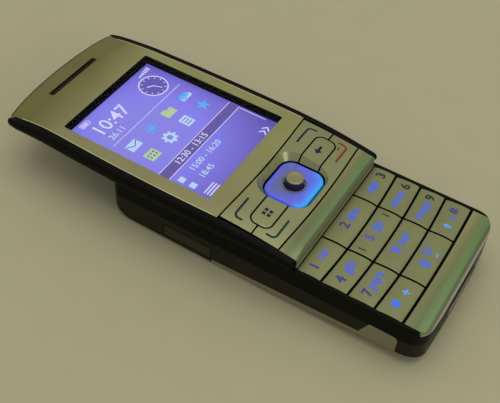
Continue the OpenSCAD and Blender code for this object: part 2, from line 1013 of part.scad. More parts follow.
// Lengthwise profile of a key: two tangent arcs that meet at its ridge
module key_profile(middle) {
  ridge_y = middle - ridge_drop;
  top = base_h + ridge_rise;
  intersection() {
    translate([ridge_y, top - ridge_low_r])
      circle(ridge_low_r, $fn = 180);
    translate([ridge_y - key_pitch, key_z])
      square([key_pitch, key_t + 1]);
  }
  intersection() {
    translate([ridge_y, top - ridge_high_r])
      circle(ridge_high_r, $fn = 240);
    translate([ridge_y, key_z])
      square([key_pitch, key_t + 1]);
  }
}

module main_board() {
  lo = strip_y + 0.4;
  hi = base_hi - 7;
  color([0.08, 0.28, 0.15])
    translate([0, 0, main_board_z])
      linear_extrude(main_board_t)
        translate([0, (lo + hi) / 2])
          slab(2 * (body_w / 2 - 2 * wall) - 0.6, hi - lo, 1.5);
}

module shield_can() {
  h = main_board_z - split_z - 0.3;
  color([0.7, 0.7, 0.68])
    difference() {
      translate([0, camera_y - 1, main_board_z - 0.04 - h])
        linear_extrude(h)
          slab(26, 24, 0.6);
      translate([0, camera_y - 1, main_board_z - 0.04 - h + 0.2])
        linear_extrude(h)
          slab(25.6, 23.6, 0.5);
    }
}

// Space the battery cover takes out of the housings
module cover_space(grow) {
  difference() {
    cover_side(grow);
    base_body(cover_t + grow);
  }
}

module battery_cover() {
  color([0.55, 0.54, 0.45])
    difference() {
      intersection() {
        base_body(0);
        cover_side(0);
      }
      base_body(cover_t);
    }
}

module rear_housing() {
  color([0.1, 0.1, 0.09])
    difference() {
      intersection() {
        base_body(0);
        box([-far, -far, 0], [far, far, split_z - 0.02]);
      }
      cover_space(fit);
      // Battery bay, open below, and the hollow behind the camera, open above
      box([-battery_w / 2 - bay_gap, battery_y - battery_l / 2 - bay_gap, -1],
        [battery_w / 2 + bay_gap, battery_y + battery_l / 2 + bay_gap, battery_z + battery_t + 0.1]);
      intersection() {
        base_body(wall);
        box([-far, cover_hi + 0.4, wall], [far, base_hi - hollow_room, far]);
      }
      // Camera opening and loudspeaker slots
      translate([0, camera_y, -1])
        cylinder(r = camera_r + fit, h = far);
      for (i = [-2:2])
        translate([speaker_x + 1.6 * i, speaker_y, -1])
          linear_extrude(4)
            slab(0.8, 6, 0.35);
      memory_door_space(0.15);
      end_socket_space();
      screw_holes(screw_r + fit);
    }
}

module battery() {
  color([0.35, 0.36, 0.38])
    difference() {
      translate([0, battery_y, battery_z])
        linear_extrude(battery_t)
          slab(battery_w, battery_l, 1);
      // Contact recess
      for (i = [-1:1])
        translate([contact_pitch * i, battery_y + battery_l / 2, battery_z + contact_rise])
          cube([3, 1, 1.4], center = true);
    }
}

module camera_module() {
  color([0.12, 0.12, 0.12])
    difference() {
      union() {
        translate([0, camera_y, 1.1])
          cylinder(r = camera_r - 0.1, h = split_z - 1.4);
        box([-4.6, camera_y - 4.6, wall + 0.1], [4.6, camera_y + 4.6, split_z - 0.4]);
      }
      translate([0, camera_y, 0])
        cylinder(r = 1.4, h = 2.6);
    }
}

module camera_window() {
  color([0.1, 0.1, 0.14, 0.6])
    translate([0, camera_y, 0.15])
      cylinder(r = camera_r - 0.02, h = 0.9);
}

module loudspeaker() {
  color([0.3, 0.3, 0.3])
    translate([speaker_x, speaker_y, wall + 0.05]) {
      cylinder(r = speaker_r, h = 2.2);
      translate([0, 0, 2.2])
        cylinder(r = speaker_r - 1.5, h = 0.8);
    }
}

module vibrator_motor() {
  color([0.68, 0.68, 0.66])
    translate([motor_x, motor_y, motor_z])
      rotate([90, 0, 0]) {
        cylinder(r = motor_r, h = motor_l);
        translate([0, 0, -0.5])
          cylinder(r = 0.35, h = 0.6);
      }
}

module vibrator_weight() {
  color([0.45, 0.45, 0.43])
    translate([motor_x, motor_y + 0.6, motor_z])
      rotate([-90, 0, 0])
        linear_extrude(2.4)
          difference() {
            circle(weight_r);
            translate([-far / 2, -far])
              square([far, far - 0.7]);
          }
}

module memory_door_space(grow) {
  box([-body_w / 2 - 1, door_lo - grow, door_z - grow],
    [-body_w / 2 + door_t + grow, door_hi + grow, door_z + door_h + grow]);
  box([-body_w / 2 - 1, door_lo + 1.6, door_z + 0.5],
    [-body_w / 2 + 4, door_hi - 1.6, door_z + door_h - 0.5]);
}

module memory_card_door() {
  color([0.12, 0.12, 0.11])
    box([-body_w / 2, door_lo, door_z], [-body_w / 2 + door_t, door_hi, door_z + door_h]);
}

module memory_card_holder() {
  lo = door_lo + 1.2;
  hi = door_hi - 1.2;
  color([0.7, 0.7, 0.68])
    difference() {
      box([-body_w / 2 + wall + 0.6, lo, wall + 0.05], [-body_w / 2 + 16, hi, door_z + 2.4]);
      box([-body_w / 2, lo + 0.6, door_z + 0.6], [-body_w / 2 + 15.4, hi - 0.6, door_z + 1.9]);
    }
}

module end_socket_space() {
  translate([socket_x, base_lo - 1, socket_z])
    rotate([-90, 0, 0])
      cylinder(r = 1.9 + 0.05, h = 8.05);
  translate([-connector_w / 2 - 0.05, base_lo - 1, socket_z - connector_h / 2 - 0.05])
    cube([connector_w + 0.1, 6.55, connector_h + 0.1]);
  translate([-socket_x, base_lo - 1, socket_z])
    rotate([-90, 0, 0])
      cylinder(r = 0.6, h = 3);
  translate([-socket_x, base_lo + 1.4, socket_z])
    rotate([-90, 0, 0])
      cylinder(r = 2.05, h = 4.65);
}

module charger_socket() {
  color([0.2, 0.2, 0.2])
    intersection() {
      difference() {
        translate([socket_x, base_lo - 1, socket_z])
          rotate([-90, 0, 0])
            cylinder(r = 1.9, h = 8);
        translate([socket_x, base_lo - 1, socket_z])
          rotate([-90, 0, 0])
            cylinder(r = charger_r, h = 1.3 + charger_depth);
      }
      base_body(0);
    }
}

module system_connector() {
  color([0.25, 0.25, 0.25])
    intersection() {
      difference() {
        translate([-connector_w / 2, base_lo - 1, socket_z - connector_h / 2])
          cube([connector_w, 6.5, connector_h]);
        translate([-connector_w / 2 + 0.5, base_lo - 1, socket_z - connector_h / 2 + 0.5])
          cube([connector_w - 1, 5.2, connector_h - 1.6]);
      }
      base_body(0);
    }
}

module microphone() {
  color([0.7, 0.68, 0.5])
    translate([-socket_x, base_lo + 3, socket_z])
      rotate([-90, 0, 0])
        cylinder(r = 2, h = 1.6);
}

module antenna() {
  color([0.75, 0.6, 0.2])
    box([-19, strip_y + 0.6, main_board_z - 0.5], [19, strip_y + 3, main_board_z - 0.05]);
}

// Openings for the two keys on the right side
module side_key_space() {
  for (k = [[rocker_y, rocker_l], [voice_y, voice_l]])
    translate([body_w / 2 - 2 * wall - 1, k[0], side_key_z])
      rotate([0, 90, 0])
        linear_extrude(6)
          slab(side_key_h + 0.5, k[1] + 0.5, 0.9);
}

module side_key(y, l) {
  translate([body_w / 2 - wall - 0.4, y, side_key_z])
    rotate([0, 90, 0]) {
      linear_extrude(wall + 0.4 + side_key_out)
        slab(side_key_h, l, 0.7);
    }
}

module volume_rocker() {
  color([0.2, 0.2, 0.19])
    side_key(rocker_y, rocker_l);
}

module voice_key() {
  color([0.2, 0.2, 0.19])
    side_key(voice_y, voice_l);
}

function screw_points() = [
  [-screw_x, battery_y + battery_l / 2 - screw_top_room],
  [screw_x, battery_y + battery_l / 2 - screw_top_room],
  [-screw_x, battery_y - battery_l / 2 + screw_key_room],
  [screw_x, battery_y - battery_l / 2 + screw_key_room]
];

module screw_holes(r) {
  for (p = screw_points())
    translate([p[0], p[1], 0]) {
      translate([0, 0, -1])
        cylinder(r = r, h = split_z + 1);
      translate([0, 0, -1])
        cylinder(r = r + 0.8, h = 1 + split_z - 1.4);
    }
}

module frame_screws() {
  color([0.5, 0.5, 0.48])
    for (p = screw_points())
      translate([p[0], p[1], screw_seat_z])
        difference() {
          union() {
            cylinder(r = screw_r, h = screw_l);
            translate([0, 0, -0.7])
              cylinder(r = screw_r + 0.7, h = 0.7);
          }
          translate([0, 0, -0.7])
            cylinder(r = 0.5, h = 0.5, $fn = 24);
        }
}

upper_frame();
front_plate();
display_window();
display_gasket();
display_panel();
earpiece_grille();
earpiece();
upper_bar();
nav_board();
nav_mat();
left_soft_key();
right_soft_key();
call_key();
end_key();
menu_key();
clear_key();
nav_pivot();
nav_pad();
select_button();
slide_carriage();
middle_frame();
slide_guide();
flex_cable();
bottom_bar();
keypad_mat();
dome_sheet();
number_key(-1, 0);  // key_1
number_key(0, 0);  // key_2
number_key(1, 0);  // key_3
number_key(-1, 1);  // key_4
number_key(0, 1);  // key_5
number_key(1, 1);  // key_6
number_key(-1, 2);  // key_7
number_key(0, 2);  // key_8
number_key(1, 2);  // key_9
number_key(-1, 3);  // key_star
number_key(0, 3);  // key_0
number_key(1, 3);  // key_hash
main_board();
shield_can();
rear_housing();
battery_cover();
battery();
camera_module();
camera_window();
loudspeaker();
vibrator_motor();
vibrator_weight();
memory_card_holder();
memory_card_door();
charger_socket();
system_connector();
microphone();
antenna();
volume_rocker();
voice_key();
frame_screws();
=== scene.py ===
# Slide phone, slid open: finishes, key legends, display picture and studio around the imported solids
import math

import bmesh
import bpy
from mathutils import Matrix, Vector
from mathutils.bvhtree import BVHTree


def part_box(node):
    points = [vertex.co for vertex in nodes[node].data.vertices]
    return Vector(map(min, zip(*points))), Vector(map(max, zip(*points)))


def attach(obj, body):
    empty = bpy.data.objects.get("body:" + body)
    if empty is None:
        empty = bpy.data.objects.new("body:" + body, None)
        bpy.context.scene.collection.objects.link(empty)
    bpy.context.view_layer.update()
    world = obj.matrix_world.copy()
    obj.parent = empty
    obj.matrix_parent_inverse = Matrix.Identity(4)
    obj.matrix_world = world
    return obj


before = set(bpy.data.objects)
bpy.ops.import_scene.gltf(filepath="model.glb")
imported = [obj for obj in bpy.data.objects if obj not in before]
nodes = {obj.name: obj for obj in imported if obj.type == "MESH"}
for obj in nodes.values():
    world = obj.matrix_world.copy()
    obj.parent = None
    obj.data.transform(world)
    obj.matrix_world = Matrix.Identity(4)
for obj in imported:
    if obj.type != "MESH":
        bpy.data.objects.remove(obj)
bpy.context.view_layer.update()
scene = bpy.context.scene
MM = 0.001


def linear(red, green, blue):
    """Colour in 0 to 255 screen values, as the linear values a socket takes."""
    shares = [value / 255 for value in (red, green, blue)]
    curve = [s / 12.92 if s < 0.04045 else ((s + 0.055) / 1.055) ** 2.4 for s in shares]
    return (*curve, 1.0)


# Materials

DRIFT_SCALE = 90
GLOSS_SCALE = 260
FINE_GRAIN = 3500
PLASTIC_GRAIN = 2600
# Half width across X over which painted light and painted sheen change from left to right
PAINTED_LIGHT_HALF_W = 20.0
COAT_EDGE = 0.05
BOW_MIDDLE = (0.0, -21.5, 19.0)
# Run along Y over which the plate's ear end takes its painted shade
EAR_SHADE_RUN = (68.0, 80.0)
DISPLAY_BRIGHT = (-8.0, 48.0, 18.8)
WALL_SLOPE = (0.25, 0.5)
POLISH_SLOPE = (0.8, 0.94)


def new_material(name):
    """Empty node material with its output node."""
    material = bpy.data.materials.new(name)
    material.use_nodes = True
    tree = material.node_tree
    tree.nodes.clear()
    output = tree.nodes.new("ShaderNodeOutputMaterial")
    return material, tree, output


def object_place(tree):
    """Place on a piece, in its own frame."""
    return tree.nodes.new("ShaderNodeTexCoord").outputs["Object"]


def speckle(tree, place, scale, detail=3.0):
    """Noise over a place."""
    noise = tree.nodes.new("ShaderNodeTexNoise")
    noise.inputs["Scale"].default_value = scale
    noise.inputs["Detail"].default_value = detail
    tree.links.new(place, noise.inputs["Vector"])
    return noise.outputs["Fac"]


def between(tree, value, low, high, start=0.3, end=0.7):
    """Value stretched from start and end to low and high."""
    stretch = tree.nodes.new("ShaderNodeMapRange")
    stretch.inputs["From Min"].default_value = start
    stretch.inputs["From Max"].default_value = end
    stretch.inputs["To Min"].default_value = low
    stretch.inputs["To Max"].default_value = high
    tree.links.new(value, stretch.inputs["Value"])
    return stretch.outputs["Result"]


def shades(tree, value, stops):
    """Colour ramp through the stops, each a place and a colour."""
    ramp = tree.nodes.new("ShaderNodeValToRGB")
    band = ramp.color_ramp
    band.elements[0].position = stops[0][0]
    band.elements[0].color = stops[0][1]
    band.elements[1].position = stops[-1][0]
    band.elements[1].color = stops[-1][1]
    for place, colour in stops[1:-1]:
        stop = band.elements.new(place)
        stop.color = colour
    tree.links.new(value, ramp.inputs["Fac"])
    return ramp.outputs["Color"]


def dimmed(colour, share):
    """Colour made darker or lighter by a share."""
    return (colour[0] * share, colour[1] * share, colour[2] * share, 1.0)


def drifting(tree, drift, colour, spread):
    """Colour that drifts a little darker and lighter with a slow noise."""
    return shades(tree, drift, [(0.3, dimmed(colour, 1 - spread)), (0.7, dimmed(colour, 1 + spread))])


def mixed(tree, share, first, second):
    """Colour between two colour outputs."""
    blend = tree.nodes.new("ShaderNodeMix")
    blend.data_type = "RGBA"
    tree.links.new(share, blend.inputs[0])
    tree.links.new(first, blend.inputs[6])
    tree.links.new(second, blend.inputs[7])
    return blend.outputs[2]


def parts_of(tree, vector):
    """X, Y and Z of a vector output."""
    split = tree.nodes.new("ShaderNodeSeparateXYZ")
    tree.links.new(vector, split.inputs["Vector"])
    return split.outputs


def reckoned(tree, operation, *values):
    """Result of one math operation on one or two outputs."""
    maths = tree.nodes.new("ShaderNodeMath")
    maths.operation = operation
    for value, socket in zip(values, maths.inputs):
        tree.links.new(value, socket)
    return maths.outputs["Value"]


def distance_from(tree, place, middle):
    """Distance from a middle given in millimetres."""
    span = tree.nodes.new("ShaderNodeVectorMath")
    span.operation = "DISTANCE"
    span.inputs[1].default_value = [value * MM for value in middle]
    tree.links.new(place, span.inputs[0])
    return span.outputs["Value"]


def surface(tree, output, metallic=0.0, specular=0.5):
    """Shader linked to the output."""
    shader = tree.nodes.new("ShaderNodeBsdfPrincipled")
    shader.inputs["Metallic"].default_value = metallic
    shader.inputs["Specular IOR Level"].default_value = specular
    tree.links.new(shader.outputs["BSDF"], output.inputs["Surface"])
    return shader


def bump(tree, shader, height, depth, strength):
    """Fine relief on a shader."""
    lump = tree.nodes.new("ShaderNodeBump")
    lump.inputs["Distance"].default_value = depth
    lump.inputs["Strength"].default_value = strength
    tree.links.new(height, lump.inputs["Height"])
    tree.links.new(lump.outputs["Normal"], shader.inputs["Normal"])


def grained(name, colour, rough, metallic=0.0, spread=0.08, grain=FINE_GRAIN, depth=0.00002,
            strength=0.3, specular=0.5):
    """Finish with slow colour drift, uneven gloss and a fine grain."""
    material, tree, output = new_material(name)
    place = object_place(tree)
    shader = surface(tree, output, metallic, specular)
    tone = drifting(tree, speckle(tree, place, DRIFT_SCALE, 4), colour, spread)
    tree.links.new(tone, shader.inputs["Base Color"])
    gloss = between(tree, speckle(tree, place, GLOSS_SCALE, 5), rough - 0.06, rough + 0.06)
    tree.links.new(gloss, shader.inputs["Roughness"])
    bump(tree, shader, speckle(tree, place, grain, 2), depth, strength)
    return material


def lit(name, colour, strength):
    """Light-emitting mark with a faint unevenness."""
    material, tree, output = new_material(name)
    place = object_place(tree)
    shader = surface(tree, output, 0.0, 0.2)
    shader.inputs["Base Color"].default_value = (0.02, 0.02, 0.03, 1.0)
    shader.inputs["Roughness"].default_value = 0.4
    shader.inputs["Emission Strength"].default_value = strength
    glow = shades(tree, speckle(tree, place, 700), [(0.25, dimmed(colour, 0.85)), (0.75, colour)])
    tree.links.new(glow, shader.inputs["Emission Color"])
    return material


def banded(name, start, end, near_stops, far_stops):
    """Metal painted with a sheen whose colour runs through the stops along Y, from start to end in
    millimetres.

    The near stops hold on the left, the far stops on the right.
    """
    material, tree, output = new_material(name)
    place = object_place(tree)
    shader = surface(tree, output, 0.45)
    where = parts_of(tree, place)
    run = between(tree, where["Y"], 0.0, 1.0, start * MM, end * MM)
    across = between(tree, where["X"], 0.0, 1.0, -PAINTED_LIGHT_HALF_W * MM, PAINTED_LIGHT_HALF_W * MM)
    # Left and right sheens differ as painted light
    tone = mixed(tree, across, shades(tree, run, near_stops), shades(tree, run, far_stops))
    tree.links.new(tone, shader.inputs["Base Color"])
    gloss = between(tree, speckle(tree, place, 300, 5), 0.31, 0.41)
    tree.links.new(gloss, shader.inputs["Roughness"])
    bump(tree, shader, speckle(tree, place, 4000, 2), 0.00001, 0.15)
    return material


def painted(name, colour, coats):
    """Black plastic with coats of paint; a coat is a colour and the limits that hold it.

    A limit is a measure, its edge in millimetres, and 1 for beyond the edge or -1 for short of it.
    """
    material, tree, output = new_material(name)
    place = object_place(tree)
    shader = surface(tree, output, 0.0, 0.05)
    where = parts_of(tree, place)
    measures = {
        "side": reckoned(tree, "ABSOLUTE", where["X"]),
        "along": where["Y"],
        "height": where["Z"],
        "bow": distance_from(tree, place, BOW_MIDDLE),
    }
    drift = speckle(tree, place, DRIFT_SCALE, 4)
    tone = drifting(tree, drift, colour, 0.15)
    for paint, limits in coats:
        share = None
        for measure, edge, way in limits:
            low, high = (0.0, 1.0) if way > 0 else (1.0, 0.0)
            start = (edge - COAT_EDGE) * MM
            end = (edge + COAT_EDGE) * MM
            part = between(tree, measures[measure], low, high, start, end)
            share = reckoned(tree, "MULTIPLY", share, part) if share else part
        tone = mixed(tree, share, tone, drifting(tree, drift, paint, 0.05))
    tree.links.new(tone, shader.inputs["Base Color"])
    gloss = between(tree, speckle(tree, place, GLOSS_SCALE, 5), 0.36, 0.48)
    tree.links.new(gloss, shader.inputs["Roughness"])
    bump(tree, shader, speckle(tree, place, PLASTIC_GRAIN, 2), 0.00003, 0.2)
    return material


def satin(name, colour, rough, polish, wall_shade_colour=None, far_light_colour=None, ear_shade_colour=None):
    """Metal that is satin on top and polished where it slopes away; its upright walls are darkened as
    painted shade.

    A far light colour paints light on the right side, and an ear shade colour paints shade on the end
    beyond the display.
    """
    material, tree, output = new_material(name)
    place = object_place(tree)
    shader = surface(tree, output, 0.5, 0.4)
    drift = speckle(tree, place, DRIFT_SCALE, 4)
    tone = drifting(tree, drift, colour, 0.05)
    # Painted light on the right side and painted shade at the ear end
    if far_light_colour:
        where = parts_of(tree, place)
        across = between(tree, where["X"], 0.0, 1.0, -PAINTED_LIGHT_HALF_W * MM, PAINTED_LIGHT_HALF_W * MM)
        along = between(tree, where["Y"], 0.0, 1.0, EAR_SHADE_RUN[0] * MM, EAR_SHADE_RUN[1] * MM)
        tone = mixed(tree, across, tone, drifting(tree, drift, far_light_colour, 0.05))
        tone = mixed(tree, along, tone, drifting(tree, drift, ear_shade_colour, 0.05))
    # Upright walls take a near-black colour: painted shade
    wall = drifting(tree, drift, wall_shade_colour or dimmed(colour, 0.06), 0.1)
    slope = parts_of(tree, tree.nodes.new("ShaderNodeNewGeometry").outputs["Normal"])["Z"]
    top = between(tree, slope, 0.0, 1.0, *WALL_SLOPE)
    tree.links.new(mixed(tree, top, wall, tone), shader.inputs["Base Color"])
    gloss = between(tree, slope, polish, rough, *POLISH_SLOPE)
    tree.links.new(gloss, shader.inputs["Roughness"])
    bump(tree, shader, speckle(tree, place, FINE_GRAIN, 2), 0.00002, 0.2)
    return material


BLACK = linear(11, 11, 8)
PLASTIC = {"spread": 0.15, "grain": PLASTIC_GRAIN, "depth": 0.00003, "strength": 0.2}
INK = {"spread": 0.1, "specular": 0.1}
DULL = {"spread": 0.15, "specular": 0.05}

# The plate's far colour is painted light, its ear colour painted shade
plate_finish = satin("plate_satin", linear(129, 127, 87), 0.42, 0.25,
                     far_light_colour=linear(139, 140, 86), ear_shade_colour=linear(104, 102, 52))
key_finish = satin("key_satin", linear(120, 124, 83), 0.42, 0.25)
nav_key_finish = satin("nav_key_satin", linear(126, 130, 89), 0.4, 0.26)
# Knob walls in dark violet: painted shade with a painted reflection of the pad's blue glow
knob_finish = satin("knob_satin", linear(134, 130, 92), 0.35, 0.25, wall_shade_colour=linear(48, 44, 72))
cover_finish = grained("cover_satin", linear(122, 117, 89), 0.45, 0.25, spread=0.05)
black_finish = grained("black_satin", BLACK, 0.42, specular=0.05, **PLASTIC)
base_finish = grained("base_satin", linear(29, 28, 18), 0.4, specular=0.1, **PLASTIC)
door_finish = grained("door_satin", linear(40, 39, 29), 0.4, specular=0.2, **PLASTIC)
# Ear end of the rim and the nose carry the plate's colour; at the ear end it is the plate's darker ear
# tone, a painted shade
upper_frame_finish = painted("upper_frame_satin", BLACK, [
    (linear(100, 98, 54), [
        ("along", 84.5, 1), ("bow", 109.65, -1), ("side", 23.9, -1), ("height", 17.5, 1),
    ]),
    (linear(128, 127, 96), [("along", -11.2, -1), ("side", 23.4, -1)]),
])
# Bright band at the key end: painted metal that continues the strip, lightened as a painted highlight
# line
middle_frame_finish = painted("middle_frame_satin", BLACK, [
    (linear(142, 140, 126), [("along", -48.5, -1), ("height", 12.9, 1)]),
])
rubber_finish = grained("black_mat", linear(8, 7, 9), 0.8, **DULL)
lip_finish = grained("lip_mat", linear(26, 22, 12), 0.7, **DULL)
steel_finish = grained("bright_steel", linear(190, 190, 186), 0.3, 0.9, spread=0.06)
collar_finish = grained("collar_polish", linear(128, 126, 130), 0.22, 0.9, spread=0.05)
# Polished edge lines on the plate, made bright as a painted highlight
painted_edge_highlight = grained("edge_painted_highlight", linear(204, 199, 150), 0.3, 0.4, spread=0.05)
board_finish = grained("board_mask", linear(34, 96, 52), 0.5, spread=0.2, grain=1200)
film_finish = grained("amber_film", linear(190, 132, 50), 0.4, spread=0.1)
foil_finish = grained("brass_foil", linear(208, 180, 104), 0.3, 0.9)
wrap_finish = grained("battery_wrap", linear(118, 120, 124), 0.5, spread=0.1)
grey_finish = grained("grey_satin", linear(84, 84, 80), 0.45, spread=0.1)
mesh_finish = grained("dark_mesh", linear(44, 42, 38), 0.5, 0.5, spread=0.2, grain=2500)
ridge_finish = grained("ridge_ink", linear(58, 55, 32), 0.5, spread=0.1)
mark_finish = grained("mark_ink", linear(28, 28, 50), 0.5, **INK)
green_finish = grained("call_ink", linear(24, 52, 40), 0.5, **INK)
red_finish = grained("end_ink", linear(122, 52, 18), 0.5, **INK)

# Painted sheen across the rolled bar and the rolled strip, from their lower edge up: a painted highlight
# at the edge, a painted shade dip, a painted green reflection band, then the metal's olive, brighter on
# the far side as painted light
bar_near_stops = [
    (0.0, linear(114, 118, 84)),
    (0.08, linear(90, 98, 64)),
    (0.2, linear(107, 122, 82)),
    (0.34, linear(99, 114, 74)),
    (0.55, linear(92, 99, 64)),
    (1.0, linear(108, 109, 73)),
]
strip_near_stops = [
    (0.0, linear(114, 118, 84)),
    (0.08, linear(94, 104, 68)),
    (0.2, linear(122, 146, 97)),
    (0.34, linear(109, 131, 85)),
    (0.55, linear(99, 110, 71)),
    (1.0, linear(114, 117, 79)),
]
far_stops = [
    (0.0, linear(112, 114, 82)),
    (0.08, linear(84, 94, 60)),
    (0.2, linear(94, 126, 74)),
    (0.34, linear(98, 124, 76)),
    (0.6, linear(116, 118, 76)),
    (1.0, linear(138, 135, 90)),
]
upper_bar_sheen = banded("upper_bar_painted_sheen", -11.9, -6.1, bar_near_stops, far_stops)
strip_sheen = banded("strip_painted_sheen", -50.3, -43.8, strip_near_stops, far_stops)

# Lit legends and the lights of the display's picture
digit_glow = lit("digit_glow", linear(62, 57, 142), 0.7)
five_glow = lit("five_glow", linear(74, 84, 184), 0.9)
letter_glow = lit("letter_glow", linear(72, 98, 212), 1.0)
zero_glow = lit("zero_glow", linear(68, 98, 228), 1.0)
sign_glow = lit("sign_glow", linear(54, 112, 246), 1.0)
spark_glow = lit("spark_glow", linear(92, 154, 226), 1.0)
dark_digit = lit("dark_digit", linear(36, 36, 58), 0.3)
white_light = lit("picture_white", linear(214, 212, 250), 1.0)
pale_light = lit("picture_pale", linear(184, 212, 250), 1.0)
cyan_light = lit("picture_cyan", linear(78, 170, 248), 1.0)
leaf_light = lit("picture_leaf", linear(176, 204, 150), 1.0)
row_light = lit("picture_row", linear(92, 78, 160), 1.0)
shade_light = lit("picture_shade", linear(92, 80, 178), 1.0)


def glass_finish(name):
    """Clear pane: see-through, with gloss on its outer faces that grows at low angles."""
    material, tree, output = new_material(name)
    place = object_place(tree)
    clear = tree.nodes.new("ShaderNodeBsdfTransparent")
    gloss = tree.nodes.new("ShaderNodeBsdfGlossy")
    smudge = between(tree, speckle(tree, place, 60, 5), 0.03, 0.1)
    tree.links.new(smudge, gloss.inputs["Roughness"])
    facing = tree.nodes.new("ShaderNodeFresnel")
    facing.inputs["IOR"].default_value = 1.12
    inner = tree.nodes.new("ShaderNodeNewGeometry").outputs["Backfacing"]
    outside = between(tree, inner, 1.0, 0.0, 0.0, 1.0)
    share = reckoned(tree, "MULTIPLY", facing.outputs["Fac"], outside)
    mix = tree.nodes.new("ShaderNodeMixShader")
    tree.links.new(share, mix.inputs["Fac"])
    tree.links.new(clear.outputs["BSDF"], mix.inputs[1])
    tree.links.new(gloss.outputs["BSDF"], mix.inputs[2])
    tree.links.new(mix.outputs["Shader"], output.inputs["Surface"])
    return material


def display_finish():
    """Lit display ground: violet blue, deeper away from its bright middle."""
    material, tree, output = new_material("display_ground")
    place = object_place(tree)
    shader = surface(tree, output)
    shader.inputs["Base Color"].default_value = (0.01, 0.01, 0.02, 1.0)
    shader.inputs["Roughness"].default_value = 0.3
    shader.inputs["Emission Strength"].default_value = 1.0
    far = between(tree, distance_from(tree, place, DISPLAY_BRIGHT), 0.0, 1.0, 10 * MM, 36 * MM)
    stops = [(0.0, linear(126, 120, 220)), (0.3, linear(121, 115, 226)), (1.0, linear(86, 70, 170))]
    tree.links.new(shades(tree, far, stops), shader.inputs["Emission Color"])
    return material


def pad_finish(middle, half_w, half_l):
    """Back-lit pad, blue at its border; greyer on the far side as a painted reflection, and a bright
    near rim where a painted highlight lifts the glow.
    """
    material, tree, output = new_material("pad_glow")
    shader = surface(tree, output)
    shader.inputs["Base Color"].default_value = linear(52, 54, 92)
    shader.inputs["Roughness"].default_value = 0.3
    shader.inputs["Emission Strength"].default_value = 0.8
    move = tree.nodes.new("ShaderNodeMapping")
    move.inputs["Location"].default_value = (-middle[0], -middle[1], 0.0)
    tree.links.new(object_place(tree), move.inputs["Vector"])
    place = move.outputs["Vector"]
    where = parts_of(tree, place)
    reach_x = between(tree, reckoned(tree, "ABSOLUTE", where["X"]), 0.0, 1.0, 0.0, half_w)
    reach_y = between(tree, reckoned(tree, "ABSOLUTE", where["Y"]), 0.0, 1.0, 0.0, half_l)
    larger = tree.nodes.new("ShaderNodeMath")
    larger.operation = "SMOOTH_MAX"
    larger.inputs[2].default_value = 0.3
    tree.links.new(reach_x, larger.inputs[0])
    tree.links.new(reach_y, larger.inputs[1])
    edge = larger.outputs["Value"]
    turned = tree.nodes.new("ShaderNodeVectorMath")
    turned.operation = "DOT_PRODUCT"
    turned.inputs[1].default_value = (0.08, -1.0, 0.0)
    tree.links.new(place, turned.inputs[0])
    nearness = turned.outputs["Value"]
    # Far side greyer: a painted reflection
    ground = shades(tree, between(tree, nearness, 0.0, 1.0, -half_l, half_l), [
        (0.0, linear(80, 86, 122)),
        (0.4, linear(82, 88, 142)),
        (0.7, linear(80, 94, 210)),
        (1.0, linear(62, 104, 246)),
    ])
    blue = shades(tree, edge, [(0.8, linear(76, 88, 232)), (1.0, linear(66, 80, 236))])
    # Bright cyan on the near rim: backlight glow lifted by a painted highlight
    rim_highlight = shades(tree, edge, [(0.8, linear(40, 150, 255)), (1.0, linear(20, 168, 255))])
    border = between(tree, edge, 0.0, 0.85, 0.62, 0.98)
    near = between(tree, nearness, 0.0, 1.0, 0.35 * half_l, 0.75 * half_l)
    outer = between(tree, edge, 0.0, 1.0, 0.6, 0.92)
    rim = reckoned(tree, "MULTIPLY", near, outer)
    glow = mixed(tree, rim, mixed(tree, border, ground, blue), rim_highlight)
    tree.links.new(glow, shader.inputs["Emission Color"])
    return material


window_finish = glass_finish("window_glass")
panel_finish = display_finish()
pad_low, pad_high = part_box("nav_pad")
pad_middle = (pad_low + pad_high) / 2
pad_half = (pad_high - pad_low) / 2
pad_glow = pad_finish(pad_middle, pad_half.x, pad_half.y)

NUMBER_KEYS = ["key_1", "key_2", "key_3", "key_4", "key_5", "key_6",
               "key_7", "key_8", "key_9", "key_star", "key_0", "key_hash"]
CORNER_KEYS = ["left_soft_key", "right_soft_key", "call_key", "end_key"]
MIDDLE_KEYS = ["menu_key", "clear_key"]

finishes = {
    "front_plate": plate_finish, "upper_bar": upper_bar_sheen, "bottom_bar": strip_sheen,
    "battery_cover": cover_finish, "display_window": window_finish, "camera_window": window_finish,
    "display_panel": panel_finish, "nav_pad": pad_glow, "select_button": knob_finish,
    "upper_frame": upper_frame_finish, "middle_frame": middle_frame_finish, "rear_housing": base_finish,
    "memory_card_door": door_finish, "camera_module": black_finish, "microphone": black_finish,
    "display_gasket": rubber_finish, "nav_mat": rubber_finish, "keypad_mat": rubber_finish,
    "nav_pivot": rubber_finish, "earpiece_grille": mesh_finish,
    "nav_board": board_finish, "main_board": board_finish,
    "volume_rocker": grey_finish, "voice_key": grey_finish,
    "flex_cable": film_finish, "antenna": foil_finish, "battery": wrap_finish,
}
for name in NUMBER_KEYS:
    finishes[name] = key_finish
for name in CORNER_KEYS + MIDDLE_KEYS:
    finishes[name] = nav_key_finish


def soften(node, width, steps=2, limit=50):
    """Small rounded edges on a solid, as a live bevel."""
    weld = node.modifiers.new("join_faces", "WELD")
    weld.merge_threshold = 0.000002
    edge = node.modifiers.new("soft_edges", "BEVEL")
    edge.width = width * MM
    edge.segments = steps
    edge.limit_method = "ANGLE"
    edge.angle_limit = math.radians(limit)
    edge.use_clamp_overlap = True
    even = node.modifiers.new("even_shading", "WEIGHTED_NORMAL")
    even.keep_sharp = True


for name, node in nodes.items():
    node.data.materials.clear()
    node.data.materials.append(finishes.get(name, steel_finish))

